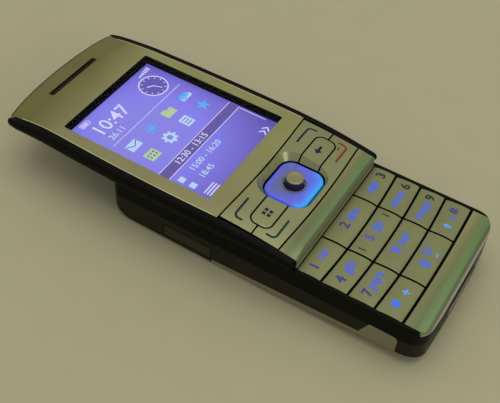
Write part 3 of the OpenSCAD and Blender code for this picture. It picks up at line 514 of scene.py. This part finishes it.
for name in NUMBER_KEYS:
    soften(nodes[name], 0.16)
for name in MIDDLE_KEYS:
    soften(nodes[name], 0.1, limit=24)
soften(nodes["upper_bar"], 0.15, limit=24)
soften(nodes["nav_pad"], 0.6, 4)
soften(nodes["memory_card_door"], 0.25, 3)


# Pieces

def place_piece(name, mesh, material, body):
    piece = bpy.data.objects.new(name, mesh)
    scene.collection.objects.link(piece)
    mesh.materials.clear()
    mesh.materials.append(material)
    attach(piece, body)
    return piece


def shape_piece(name, bm, material, body):
    bmesh.ops.recalc_face_normals(bm, faces=bm.faces)
    mesh = bpy.data.meshes.new(name)
    bm.to_mesh(mesh)
    bm.free()
    return place_piece(name, mesh, material, body)


def curve_mesh(curve, name):
    """Mesh of a text or line curve, at the origin."""
    holder = bpy.data.objects.new(name, curve)
    scene.collection.objects.link(holder)
    bpy.context.view_layer.update()
    shown = holder.evaluated_get(bpy.context.evaluated_depsgraph_get())
    mesh = bpy.data.meshes.new_from_object(shown)
    bpy.data.objects.remove(holder)
    return mesh


def words_mesh(name, words, size, thick, weight):
    """Standing text, middle at the origin, its face up, in millimetres."""
    curve = bpy.data.curves.new(name, "FONT")
    curve.body = words
    curve.size = size * MM
    curve.offset = weight * MM
    curve.extrude = thick * MM / 2
    curve.align_x = "CENTER"
    curve.align_y = "CENTER"
    curve.resolution_u = 3
    return curve_mesh(curve, name)


def line_mesh(name, points, width, thick):
    """Flat round-ended line through points on the XY plane, in millimetres."""
    curve = bpy.data.curves.new(name, "CURVE")
    curve.dimensions = "3D"
    curve.bevel_depth = width * MM / 2
    curve.bevel_resolution = 2
    curve.use_fill_caps = True
    path = [points[0]]
    for start, end in zip(points, points[1:]):
        count = max(1, round(math.dist(start, end) / 0.5))
        for i in range(1, count + 1):
            path.append([a + (b - a) * i / count for a, b in zip(start, end)])
    run = curve.splines.new("POLY")
    run.points.add(len(path) - 1)
    for point, (x, y) in zip(run.points, path):
        point.co = (x * MM, y * MM, 0.0, 1.0)
    mesh = curve_mesh(curve, name)
    mesh.transform(Matrix.Diagonal((1.0, 1.0, thick / width, 1.0)))
    return mesh


def rounded_corner(corner, radius, start, end, steps=5):
    """Quarter turn from angle start to end, in degrees, round a corner's centre."""
    turn = []
    for i in range(steps + 1):
        angle = math.radians(start + (end - start) * i / steps)
        turn.append((corner[0] + radius * math.cos(angle), corner[1] + radius * math.sin(angle)))
    return turn


ABOVE_ALL = 0.05
surfaces = {}


def drape(mesh, node_name):
    """Lays a flat mesh on the upper side of a solid."""
    if node_name not in surfaces:
        shown = bpy.context.evaluated_depsgraph_get()
        surfaces[node_name] = BVHTree.FromObject(nodes[node_name], shown)
    tree = surfaces[node_name]
    for vertex in mesh.vertices:
        start = Vector((vertex.co.x, vertex.co.y, ABOVE_ALL))
        hit = tree.ray_cast(start, Vector((0, 0, -1)))[0]
        if hit is not None:
            vertex.co.z += hit.z


# Flat prints, in millimetres

PRINT_THICK = 0.04


def bar_print(bm, x, y, w, h, turn=0.0):
    place = Matrix.Translation((x * MM, y * MM, 0.0))
    spin = Matrix.Rotation(math.radians(turn), 4, "Z")
    size = Matrix.Diagonal((w * MM, h * MM, 1.0, 1.0))
    bmesh.ops.create_grid(bm, x_segments=1, y_segments=1, size=0.5, matrix=place @ spin @ size)


def disc_print(bm, x, y, r, sides=24):
    place = Matrix.Translation((x * MM, y * MM, 0.0))
    bmesh.ops.create_circle(bm, cap_ends=True, segments=sides, radius=r * MM, matrix=place)


def ring_print(bm, x, y, r, w, sides=28):
    place = Matrix.Translation((x * MM, y * MM, 0.0))
    edges = []
    for radius in (r, r - w):
        loop = bmesh.ops.create_circle(bm, cap_ends=False, segments=sides, radius=radius * MM,
                                       matrix=place)
        for vertex in loop["verts"]:
            edges += [edge for edge in vertex.link_edges if edge not in edges]
    bmesh.ops.bridge_loops(bm, edges=edges)


def spokes_print(bm, middle, reach, count, w, h):
    """Short bars standing round a middle."""
    for i in range(count):
        turn = i * 360 / count
        x = middle[0] + reach * math.cos(math.radians(turn))
        y = middle[1] + reach * math.sin(math.radians(turn))
        bar_print(bm, x, y, w, h, turn)


def shape_print(bm, points):
    bm.faces.new([bm.verts.new((x * MM, y * MM, 0.0)) for x, y in points])


def words_print(bm, words, x, y, size, weight=0.0):
    mesh = words_mesh("words", words, size, PRINT_THICK, weight)
    mesh.transform(Matrix.Translation((x * MM, y * MM, PRINT_THICK * MM / 2)))
    bm.from_mesh(mesh)
    bpy.data.meshes.remove(mesh)


def thicken(bm):
    """Gives flat faces a printed layer's thickness."""
    bmesh.ops.recalc_face_normals(bm, faces=bm.faces)
    block = bmesh.ops.extrude_face_region(bm, geom=bm.faces[:], use_keep_orig=True)["geom"]
    raised = [part for part in block if isinstance(part, bmesh.types.BMVert)]
    bmesh.ops.translate(bm, verts=raised, vec=(0.0, 0.0, PRINT_THICK * MM))


def refine(bm, longest, rounds):
    """Cuts long edges, so that a print can follow a curve."""
    bmesh.ops.triangulate(bm, faces=bm.faces)
    for _ in range(rounds):
        wide = [edge for edge in bm.edges if edge.calc_length() > longest * MM]
        bmesh.ops.subdivide_edges(bm, edges=wide, cuts=1)
        bmesh.ops.triangulate(bm, faces=bm.faces)


def soft_block(size, place, offset):
    """Block with rounded edges; its size and the rounding are in millimetres."""
    bm = bmesh.new()
    shape = Matrix.Diagonal((*[value * MM for value in size], 1.0))
    bmesh.ops.create_cube(bm, size=1.0, matrix=Matrix.Translation(place) @ shape)
    bmesh.ops.bevel(bm, geom=bm.edges[:], offset=offset * MM, offset_type="OFFSET", segments=2,
                    profile=0.5, affect="EDGES", material=-1)
    return bm


def lay_print(name, bm, place, material, body):
    """Moves a print to its place and hangs it on a body."""
    bmesh.ops.translate(bm, verts=bm.verts, vec=place)
    shape_piece(name, bm, material, body)


# Legends of the number keys

LETTERS = {
    "key_2": "abc", "key_3": "def", "key_4": "ghi", "key_5": "jkl", "key_6": "mno",
    "key_7": "pqrs", "key_8": "tuv", "key_9": "wxyz",
}
DIGIT_SHIFT = {-1: -3.4, 0: -2.4, 1: 4.3}
LETTER_SHIFT = {-1: 1.6, 0: 2.5, 1: -1.5}
DIGIT_SIZE = 4.0
LETTER_SIZE = 3.7
LEGEND_WEIGHT = 0.12
LEGEND_Y = 0.2
COLUMN_PITCH = 16.525
ROW_PITCH = 7.875
FIRST_ROW = -15.84


def key_column(key):
    return NUMBER_KEYS.index(key) % 3 - 1


def key_middle(key):
    row = NUMBER_KEYS.index(key) // 3
    return Vector((key_column(key) * COLUMN_PITCH * MM, (FIRST_ROW - row * ROW_PITCH) * MM, 0.0))


def draped_print(name, bm, place, material, body):
    """Lays a print on the curved top of a key."""
    bmesh.ops.translate(bm, verts=bm.verts, vec=place)
    bmesh.ops.remove_doubles(bm, verts=bm.verts, dist=0.0000005)
    refine(bm, 0.6, 3)
    piece = shape_piece(name, bm, material, body)
    drape(piece.data, body)


def key_print(key, part, bm, material):
    draped_print(f"{key}_{part}", bm, key_middle(key), material, key)


digit_lights = {
    "key_3": dark_digit, "key_6": dark_digit, "key_9": dark_digit,
    "key_5": five_glow, "key_8": zero_glow,
}
for key in NUMBER_KEYS[:9]:
    column = key_column(key)
    bm = bmesh.new()
    words_print(bm, key[-1], DIGIT_SHIFT[column], LEGEND_Y, DIGIT_SIZE, LEGEND_WEIGHT)
    key_print(key, "digit", bm, digit_lights.get(key, digit_glow))
    if key in LETTERS:
        bm = bmesh.new()
        words_print(bm, LETTERS[key], LETTER_SHIFT[column], LEGEND_Y, LETTER_SIZE, LEGEND_WEIGHT)
        key_print(key, "letters", bm, letter_glow)

# Two joined rings on key 1
bm = bmesh.new()
for side in (-1, 1):
    ring_print(bm, 1.6 + side * 1.05, LEGEND_Y, 0.95, 0.4)
bar_print(bm, 1.6, -0.55, 2.1, 0.4)
thicken(bm)
key_print("key_1", "letters", bm, letter_glow)

# Star and plus
bm = bmesh.new()
for turn in (30, 90, 150):
    bar_print(bm, -2.4, 0.4, 2.7, 0.75, turn)
thicken(bm)
key_print("key_star", "star", bm, sign_glow)
bm = bmesh.new()
bar_print(bm, 2.4, -0.3, 2.0, 0.55)
bar_print(bm, 2.4, -0.3, 0.55, 2.0)
thicken(bm)
key_print("key_star", "plus", bm, spark_glow)

# Zero with a ringed dot and a short stroke
bm = bmesh.new()
words_print(bm, "0", -2.4, -0.7, DIGIT_SIZE, LEGEND_WEIGHT + 0.08)
key_print("key_0", "digit", bm, zero_glow)
bm = bmesh.new()
ring_print(bm, 2.0, 0.7, 1.35, 0.4)
disc_print(bm, 2.0, 0.7, 0.45)
thicken(bm)
key_print("key_0", "ring", bm, letter_glow)
bm = bmesh.new()
shape_print(bm, [(1.2, -2.5), (2.8, -2.5), (2.8, -1.6), (2.3, -1.6), (2.3, -2.05), (1.2, -2.05)])
thicken(bm)
key_print("key_0", "stroke", bm, spark_glow)

# Crossed bars, a small ring and an arrow
bm = bmesh.new()
for shift in (-0.45, 0.45):
    bar_print(bm, 3.5 + shift, 0.5, 0.42, 2.8, -8)
    bar_print(bm, 3.5, 0.5 + shift, 2.3, 0.42)
thicken(bm)
key_print("key_hash", "bars", bm, digit_glow)
bm = bmesh.new()
ring_print(bm, 0.5, -0.5, 0.8, 0.35)
thicken(bm)
key_print("key_hash", "ring", bm, letter_glow)
bm = bmesh.new()
shape_print(bm, [(-3.9, -0.3), (-1.9, -0.3), (-2.9, 1.0)])
bar_print(bm, -2.9, -0.85, 0.8, 1.1)
thicken(bm)
key_print("key_hash", "arrow", bm, spark_glow)

# Two finger ridges beside the legend of key 5
RIDGE_REACH = 7.5
RIDGE_SIZE = (0.45, 2.2, 0.16)
RIDGE_LIFT = 0.04
for side, name in ((-1, "left"), (1, "right")):
    bm = soft_block(RIDGE_SIZE, (0.0, 0.0, 0.0), 0.06)
    place = key_middle("key_5") + Vector((side * RIDGE_REACH, LEGEND_Y, RIDGE_LIFT)) * MM
    draped_print(f"key_5_ridge_{name}", bm, place, ridge_finish, "key_5")

# Marks on the navigation keys: a bent line on each corner key
nav_y = pad_middle.y / MM
MARK_OUTER = 21.1
MARK_INNER = 13.5
MARK_BEND = 1.3
MARK_WIDTH = 0.66
MARK_THICK = 0.1
for key, side, up, far_y, near_y, ink in (
        ("left_soft_key", -1, 1, 7.0, 4.3, mark_finish), ("right_soft_key", 1, 1, 7.0, 4.3, mark_finish),
        ("call_key", -1, -1, 6.0, 3.2, green_finish), ("end_key", 1, -1, 6.0, 3.0, red_finish)):
    corner = (side * (MARK_OUTER - MARK_BEND), nav_y + up * (far_y - MARK_BEND))
    bend = rounded_corner(corner, MARK_BEND, 90 * up, 0 if side > 0 else 180 * up)
    points = [(side * MARK_INNER, nav_y + up * far_y)]
    points += bend
    points.append((side * MARK_OUTER, nav_y + up * near_y))
    mesh = line_mesh(key + "_mark", points, MARK_WIDTH, MARK_THICK)
    drape(mesh, key)
    place_piece(key + "_mark", mesh, ink, key)


def glyph_on(key, bm):
    thicken(bm)
    draped_print(key + "_glyph", bm, (0.0, 0.0, 0.0), mark_finish, key)


# Four small squares for the menu, an arrow for clearing
bm = bmesh.new()
for step_x in (-0.75, 0.75):
    for step_y in (-0.75, 0.75):
        bar_print(bm, -14.8 + step_x, nav_y + 0.1 + step_y, 1.0, 1.0)
glyph_on("menu_key", bm)
bm = bmesh.new()
shape_print(bm, [(12.9, nav_y + 0.2), (14.4, nav_y + 1.5), (14.4, nav_y - 1.1)])
bar_print(bm, 15.3, nav_y + 0.2, 1.9, 0.8)
glyph_on("clear_key", bm)

# Short stroke below the mark of the end key
mesh = line_mesh("end_key_stroke", [(18.2, nav_y - 4.2), (19.4, nav_y - 4.0)], 0.5, MARK_THICK)
drape(mesh, "end_key")
place_piece("end_key_stroke", mesh, red_finish, "end_key")

# Metal collar round the select button
bm = bmesh.new()
profile = [(3.03, 0.0), (3.72, 0.0), (3.68, 0.2), (3.5, 0.34), (3.25, 0.34), (3.06, 0.22)]
ring = [bm.verts.new((r * MM, 0.0, z * MM)) for r, z in profile]
edges = [bm.edges.new((ring[i], ring[(i + 1) % len(ring)])) for i in range(len(ring))]
bmesh.ops.spin(bm, geom=ring + edges, cent=(0, 0, 0), axis=(0, 0, 1), dvec=(0, 0, 0),
               angle=math.tau, steps=64, use_merge=True)
bmesh.ops.remove_doubles(bm, verts=bm.verts, dist=0.000001)
place = (pad_middle.x, pad_middle.y, pad_high.z)
lay_print("select_collar", bm, place, collar_finish, "nav_pad")

# Rounded rails over the upper frame's long sides, and bright lines beside them on the plate's polished
# edges, lightened as a painted highlight
RAIL_HALF_W = 0.85
RAIL_OUT = 0.42
RAIL_RISE = 0.1
RAIL_SHARE = 0.45
RAIL_TIP = 1.2
RAIL_START = -10.6
RAIL_END = 85.2
RAIL_STEPS = 40
RAIL_SIDES = 24
TIP_ANGLES = (25, 50, 70, 86)
UNDER_Z = 15.5
WALL_Z = 17.8
RIM_INSET = 0.35
EDGE_START = 14.0
EDGE_STEP = 1.94
EDGE_STEPS = 36
EDGE_INSET = 0.12
EDGE_DROP = 0.5
EDGE_WIDTH = 0.2
EDGE_THICK = 0.08
frame_hull = BVHTree.FromObject(nodes["upper_frame"], bpy.context.evaluated_depsgraph_get())
plate_hull = BVHTree.FromObject(nodes["front_plate"], bpy.context.evaluated_depsgraph_get())


def outer_wall(hull, side, y, z):
    """Point where a level ray from outside meets a solid."""
    return hull.ray_cast(Vector((side * 60, y, z)) * MM, Vector((-side, 0, 0)))[0]


def rim_top(side, y):
    """Height of the frame's rim at one side."""
    wall = outer_wall(frame_hull, side, y, WALL_Z)
    above = Vector((wall.x - side * RIM_INSET * MM, wall.y, ABOVE_ALL))
    return frame_hull.ray_cast(above, Vector((0, 0, -1)))[0].z


def swept_rail(spine):
    """Bar swept along the spine, a list of middles with the bar's half width and half height there."""
    bm = bmesh.new()
    middle, half_w, half_h = spine[0]
    upright = Matrix.Rotation(math.radians(90), 4, "X")
    place = Matrix.Translation(middle) @ upright @ Matrix.Diagonal((half_w, half_h, 1.0, 1.0))
    bmesh.ops.create_circle(bm, cap_ends=True, segments=RAIL_SIDES, radius=MM, matrix=place)
    edges = bm.edges[:]
    for next_middle, next_w, next_h in spine[1:]:
        swept = bmesh.ops.extrude_edge_only(bm, edges=edges)["geom"]
        verts = [part for part in swept if isinstance(part, bmesh.types.BMVert)]
        edges = [part for part in swept if isinstance(part, bmesh.types.BMEdge)]
        size = (next_w / half_w, 1.0, next_h / half_h)
        bmesh.ops.scale(bm, vec=size, space=Matrix.Translation(-middle), verts=verts)
        bmesh.ops.translate(bm, vec=next_middle - middle, verts=verts)
        middle, half_w, half_h = next_middle, next_w, next_h
    bmesh.ops.edgeloop_fill(bm, edges=edges)
    for face in bm.faces:
        face.smooth = len(face.verts) == 4
    return bm


def rail_tip(end, inner):
    """Rounded end of a rail, from its last full section outwards."""
    middle, half_w, half_h = end
    way = (middle - inner[0]).normalized()
    tip = []
    for angle in TIP_ANGLES:
        reach = RAIL_TIP * math.sin(math.radians(angle)) * MM
        share = math.cos(math.radians(angle))
        tip.append((middle + way * reach, half_w * share, half_h * share))
    return tip


for side, name in ((-1, "left"), (1, "right")):
    spine = []
    for i in range(RAIL_STEPS + 1):
        y = RAIL_START + (RAIL_END - RAIL_START) * i / RAIL_STEPS
        wall = outer_wall(frame_hull, side, y, WALL_Z)
        top = rim_top(side, y) / MM
        half_h = RAIL_SHARE * (top - UNDER_Z)
        middle = Vector((wall.x / MM + side * RAIL_OUT, y, top + RAIL_RISE - half_h)) * MM
        spine.append((middle, RAIL_HALF_W, half_h))
    lower_tip = rail_tip(spine[0], spine[1])
    upper_tip = rail_tip(spine[-1], spine[-2])
    spine = lower_tip[::-1] + spine + upper_tip
    shape_piece("frame_rail_" + name, swept_rail(spine), black_finish, "slider")
    points = []
    for i in range(EDGE_STEPS):
        y = EDGE_START + i * EDGE_STEP
        edge = outer_wall(plate_hull, side, y, rim_top(side, y) / MM - EDGE_DROP)
        points.append((edge.x / MM - side * EDGE_INSET, y))
    mesh = line_mesh("plate_edge_" + name, points, EDGE_WIDTH, EDGE_THICK)
    drape(mesh, "front_plate")
    place_piece("plate_edge_" + name, mesh, painted_edge_highlight, "slider")

# Bright sill on the base between the first key row and the bar
SILL_SIZE = (46.4, 1.12, 0.2)
SILL_PLACE = Vector((0.0, -11.46, 15.3)) * MM
bm = soft_block(SILL_SIZE, SILL_PLACE, 0.05)
shape_piece("key_sill", bm, cover_finish, "base")

# Rings printed on the camera window's outer face, inside its recess
camera_low, camera_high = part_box("camera_window")
camera_middle = (camera_low + camera_high) / 2
bm = bmesh.new()
ring_print(bm, 0.0, 0.0, 3.05, 0.6, 48)
ring_print(bm, 0.0, 0.0, 1.6, 0.25, 40)
thicken(bm)
place = (camera_middle.x, camera_middle.y, camera_low.z - PRINT_THICK * MM)
lay_print("camera_rings", bm, place, steel_finish, "base")

# Dark lip round the earpiece slot
LIP_OUTER = (81.42, 10.6, 1.0, 0.45)
LIP_INNER = (81.6, 10.3, 0.7, 0.6)
bm = bmesh.new()
edges = []
for middle, half_l, half_w, radius in (LIP_OUTER, LIP_INNER):
    loop = []
    for right, up, turn in ((1, 1, 0), (-1, 1, 90), (-1, -1, 180), (1, -1, 270)):
        corner = (right * (half_l - radius), middle + up * (half_w - radius))
        arc = rounded_corner(corner, radius, turn, turn + 90)
        loop += [bm.verts.new((x * MM, y * MM, 0.0)) for x, y in arc]
    edges += [bm.edges.new((loop[i], loop[(i + 1) % len(loop)])) for i in range(len(loop))]
bmesh.ops.bridge_loops(bm, edges=edges)
thicken(bm)
refine(bm, 1.0, 5)
lip = shape_piece("ear_lip", bm, lip_finish, "slider")
drape(lip.data, "front_plate")

# Picture on the display
panel_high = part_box("display_panel")[1]
LAYER_STEP = 0.03


def show(name, bm, level, light):
    """Lays a layer of the picture on the panel; higher levels lie on lower ones."""
    place = (0.0, 0.0, panel_high.z + level * LAYER_STEP * MM)
    lay_print("picture_" + name, bm, place, light, "slider")


# Darker ground of the dial and the chosen row
DIAL = (11.6, 59.4)
TIME_ROWS = (34.2, 29.4, 25.6)
ROW_WIDTH = 37.6
ICON_COLUMNS = (-13.2, -4.4, 4.4, 13.2)
ICON_ROWS = (48.6, 42.0)
bm = bmesh.new()
disc_print(bm, *DIAL, 4.6, 40)
thicken(bm)
show("dial_ground", bm, 0, shade_light)
bm = bmesh.new()
bar_print(bm, 0.0, TIME_ROWS[0], ROW_WIDTH, 3.5)
thicken(bm)
show("row", bm, 0, row_light)

# White lines and numbers: dial, row edges, rule, side track, meters, corner signs, time and first row
bm = bmesh.new()
ring_print(bm, *DIAL, 4.75, 0.4, 40)
spokes_print(bm, DIAL, 3.7, 12, 0.7, 0.25)
bar_print(bm, DIAL[0] - 0.9, DIAL[1] + 0.55, 2.2, 0.4, 148)
bar_print(bm, DIAL[0] + 0.5, DIAL[1] - 1.35, 2.9, 0.3, -70)
for y in (32.4, 36.0):
    bar_print(bm, 0.0, y, ROW_WIDTH, 0.22)
bar_print(bm, 0.0, 53.2, 34.0, 0.18)
bar_print(bm, 18.4, 27.4, 0.25, 9.0)
for i in range(6):
    bar_print(bm, 12.4 + i * 0.95, 65.2 + i * 0.09, 0.55, 0.7 + i * 0.18)
bar_print(bm, -14.4, 66.3, 3.6, 0.2)
bar_print(bm, -14.4, 64.7, 3.6, 0.2)
bar_print(bm, -16.1, 65.5, 0.2, 1.5)
bar_print(bm, -12.6, 65.5, 0.3, 1.0)
for i in range(3):
    bar_print(bm, -15.4 + i * 0.85, 65.5, 0.6, 1.0)
for i in range(3):
    bar_print(bm, -14.8, 19.6 + i * 0.95, 5.0, 0.42)
shape_print(bm, [(12.4, 19.4), (13.0, 19.4), (14.2, 20.6), (13.0, 21.8), (12.4, 21.8), (13.6, 20.6)])
shape_print(bm, [(14.2, 19.4), (14.8, 19.4), (16.0, 20.6), (14.8, 21.8), (14.2, 21.8), (15.4, 20.6)])
thicken(bm)
words_print(bm, "10:47", -8.4, 60.4, 6.6, 0.04)
words_print(bm, "12:30 - 13:15", -4.6, TIME_ROWS[0], 2.9, 0.03)
show("white", bm, 1, white_light)

# Paler numbers, with a square before each row
bm = bmesh.new()
words_print(bm, "26.11", -11.6, 55.7, 3.0, 0.02)
words_print(bm, "15:00 - 16:20", -4.6, TIME_ROWS[1], 2.8, 0.02)
words_print(bm, "18:45", -9.6, TIME_ROWS[2], 2.8, 0.02)
for y in TIME_ROWS:
    bar_print(bm, -16.6, y, 2.0, 2.0)
show("pale_numbers", bm, 1, pale_light)

# Two rows of small icons
bm = bmesh.new()
bar_print(bm, ICON_COLUMNS[0], ICON_ROWS[0], 4.6, 3.3)
bar_print(bm, ICON_COLUMNS[2], ICON_ROWS[1], 3.4, 4.0)
gear = (ICON_COLUMNS[1], ICON_ROWS[1])
ring_print(bm, *gear, 1.9, 0.9)
spokes_print(bm, gear, 2.1, 8, 0.7, 0.8)
bar_print(bm, ICON_COLUMNS[3], ICON_ROWS[0] - 0.4, 4.4, 1.5)
thicken(bm)
show("pale_icons", bm, 1, pale_light)
bm = bmesh.new()
disc_print(bm, 12.4, 48.9, 1.3)
disc_print(bm, 14.0, 49.1, 1.0)
sun = (ICON_COLUMNS[1], ICON_ROWS[0])
disc_print(bm, *sun, 1.15)
spokes_print(bm, sun, 1.95, 8, 0.8, 0.4)
spikes = []
for i in range(10):
    angle = math.radians(90 + i * 36)
    reach = 2.3 if i % 2 == 0 else 1.0
    x = ICON_COLUMNS[3] + reach * math.cos(angle)
    y = ICON_ROWS[1] + reach * math.sin(angle)
    spikes.append((x, y))
shape_print(bm, spikes)
thicken(bm)
show("cyan_icons", bm, 1, cyan_light)
bm = bmesh.new()
shape_print(bm, [(2.2, 46.9), (6.6, 46.9), (6.6, 49.7), (4.6, 49.7), (4.1, 50.3), (2.2, 50.3)])
bar_print(bm, ICON_COLUMNS[0], ICON_ROWS[1], 4.2, 3.8)
thicken(bm)
show("leaf_icons", bm, 1, leaf_light)
bm = bmesh.new()
bar_print(bm, -14.3, 48.9, 2.7, 0.3, -34)
bar_print(bm, -12.1, 48.9, 2.7, 0.3, 34)
for i in range(3):
    bar_print(bm, ICON_COLUMNS[2], 41.0 + i, 2.2, 0.28)
for i in range(3):
    for y in (41.4, 42.6):
        bar_print(bm, -14.4 + i * 1.2, y, 0.6, 0.6)
thicken(bm)
show("icon_lines", bm, 2, shade_light)

# Camera, fitted to the photograph's viewing angle
RIGHT = Vector((0.52157, -0.85122, 0.05824))
DOWN = Vector((-0.60975, -0.41962, -0.67240))
FORWARD = Vector((0.59680, 0.31519, -0.73790))
STAND = Vector((-163.558, -70.352, 205.306)) * MM
view = bpy.data.cameras.new("view")
view.sensor_width = 36
view.sensor_fit = "HORIZONTAL"
view.lens = 65.70
view.clip_start = 0.01
camera = bpy.data.objects.new("view", view)
turn = Matrix((RIGHT, -DOWN, -FORWARD)).transposed()
camera.matrix_world = Matrix.Translation(STAND) @ turn.to_4x4()
scene.collection.objects.link(camera)
scene.camera = camera

# Floor and light
FLOOR_HALF = 3.0
WARM_WHITE = (1.0, 0.98, 0.93)
floor_material = grained("floor_paper", linear(161, 158, 127), 0.9, spread=0.015, grain=900,
                         depth=0.00004, strength=0.1)
bm = bmesh.new()
bmesh.ops.create_grid(bm, x_segments=1, y_segments=1, size=FLOOR_HALF)
floor_mesh = bpy.data.meshes.new("floor")
bm.to_mesh(floor_mesh)
bm.free()
floor_mesh.materials.append(floor_material)
floor = bpy.data.objects.new("floor", floor_mesh)
scene.collection.objects.link(floor)


def soft_lamp(name, place, target, size, power):
    """Round area lamp, aimed at a target."""
    lamp = bpy.data.lights.new(name, "AREA")
    lamp.shape = "DISK"
    lamp.size = size
    lamp.energy = power
    lamp.color = WARM_WHITE
    holder = bpy.data.objects.new(name, lamp)
    holder.location = place
    aim = Vector(target) - Vector(place)
    holder.rotation_euler = aim.to_track_quat("-Z", "Y").to_euler()
    scene.collection.objects.link(holder)


soft_lamp("key_lamp", (0.06, -0.02, 0.85), (0.0, 0.0, 0.0), 0.8, 2.75)
soft_lamp("edge_lamp", (-0.25, -0.76, 0.42), (0.0, 0.0, 0.02), 0.3, 0.9)
world = bpy.data.worlds.new("studio")
world.use_nodes = True
sky = world.node_tree.nodes["Background"]
sky.inputs["Color"].default_value = (1.0, 0.985, 0.94, 1.0)
sky.inputs["Strength"].default_value = 0.62
scene.world = world
scene.view_settings.view_transform = "Standard"
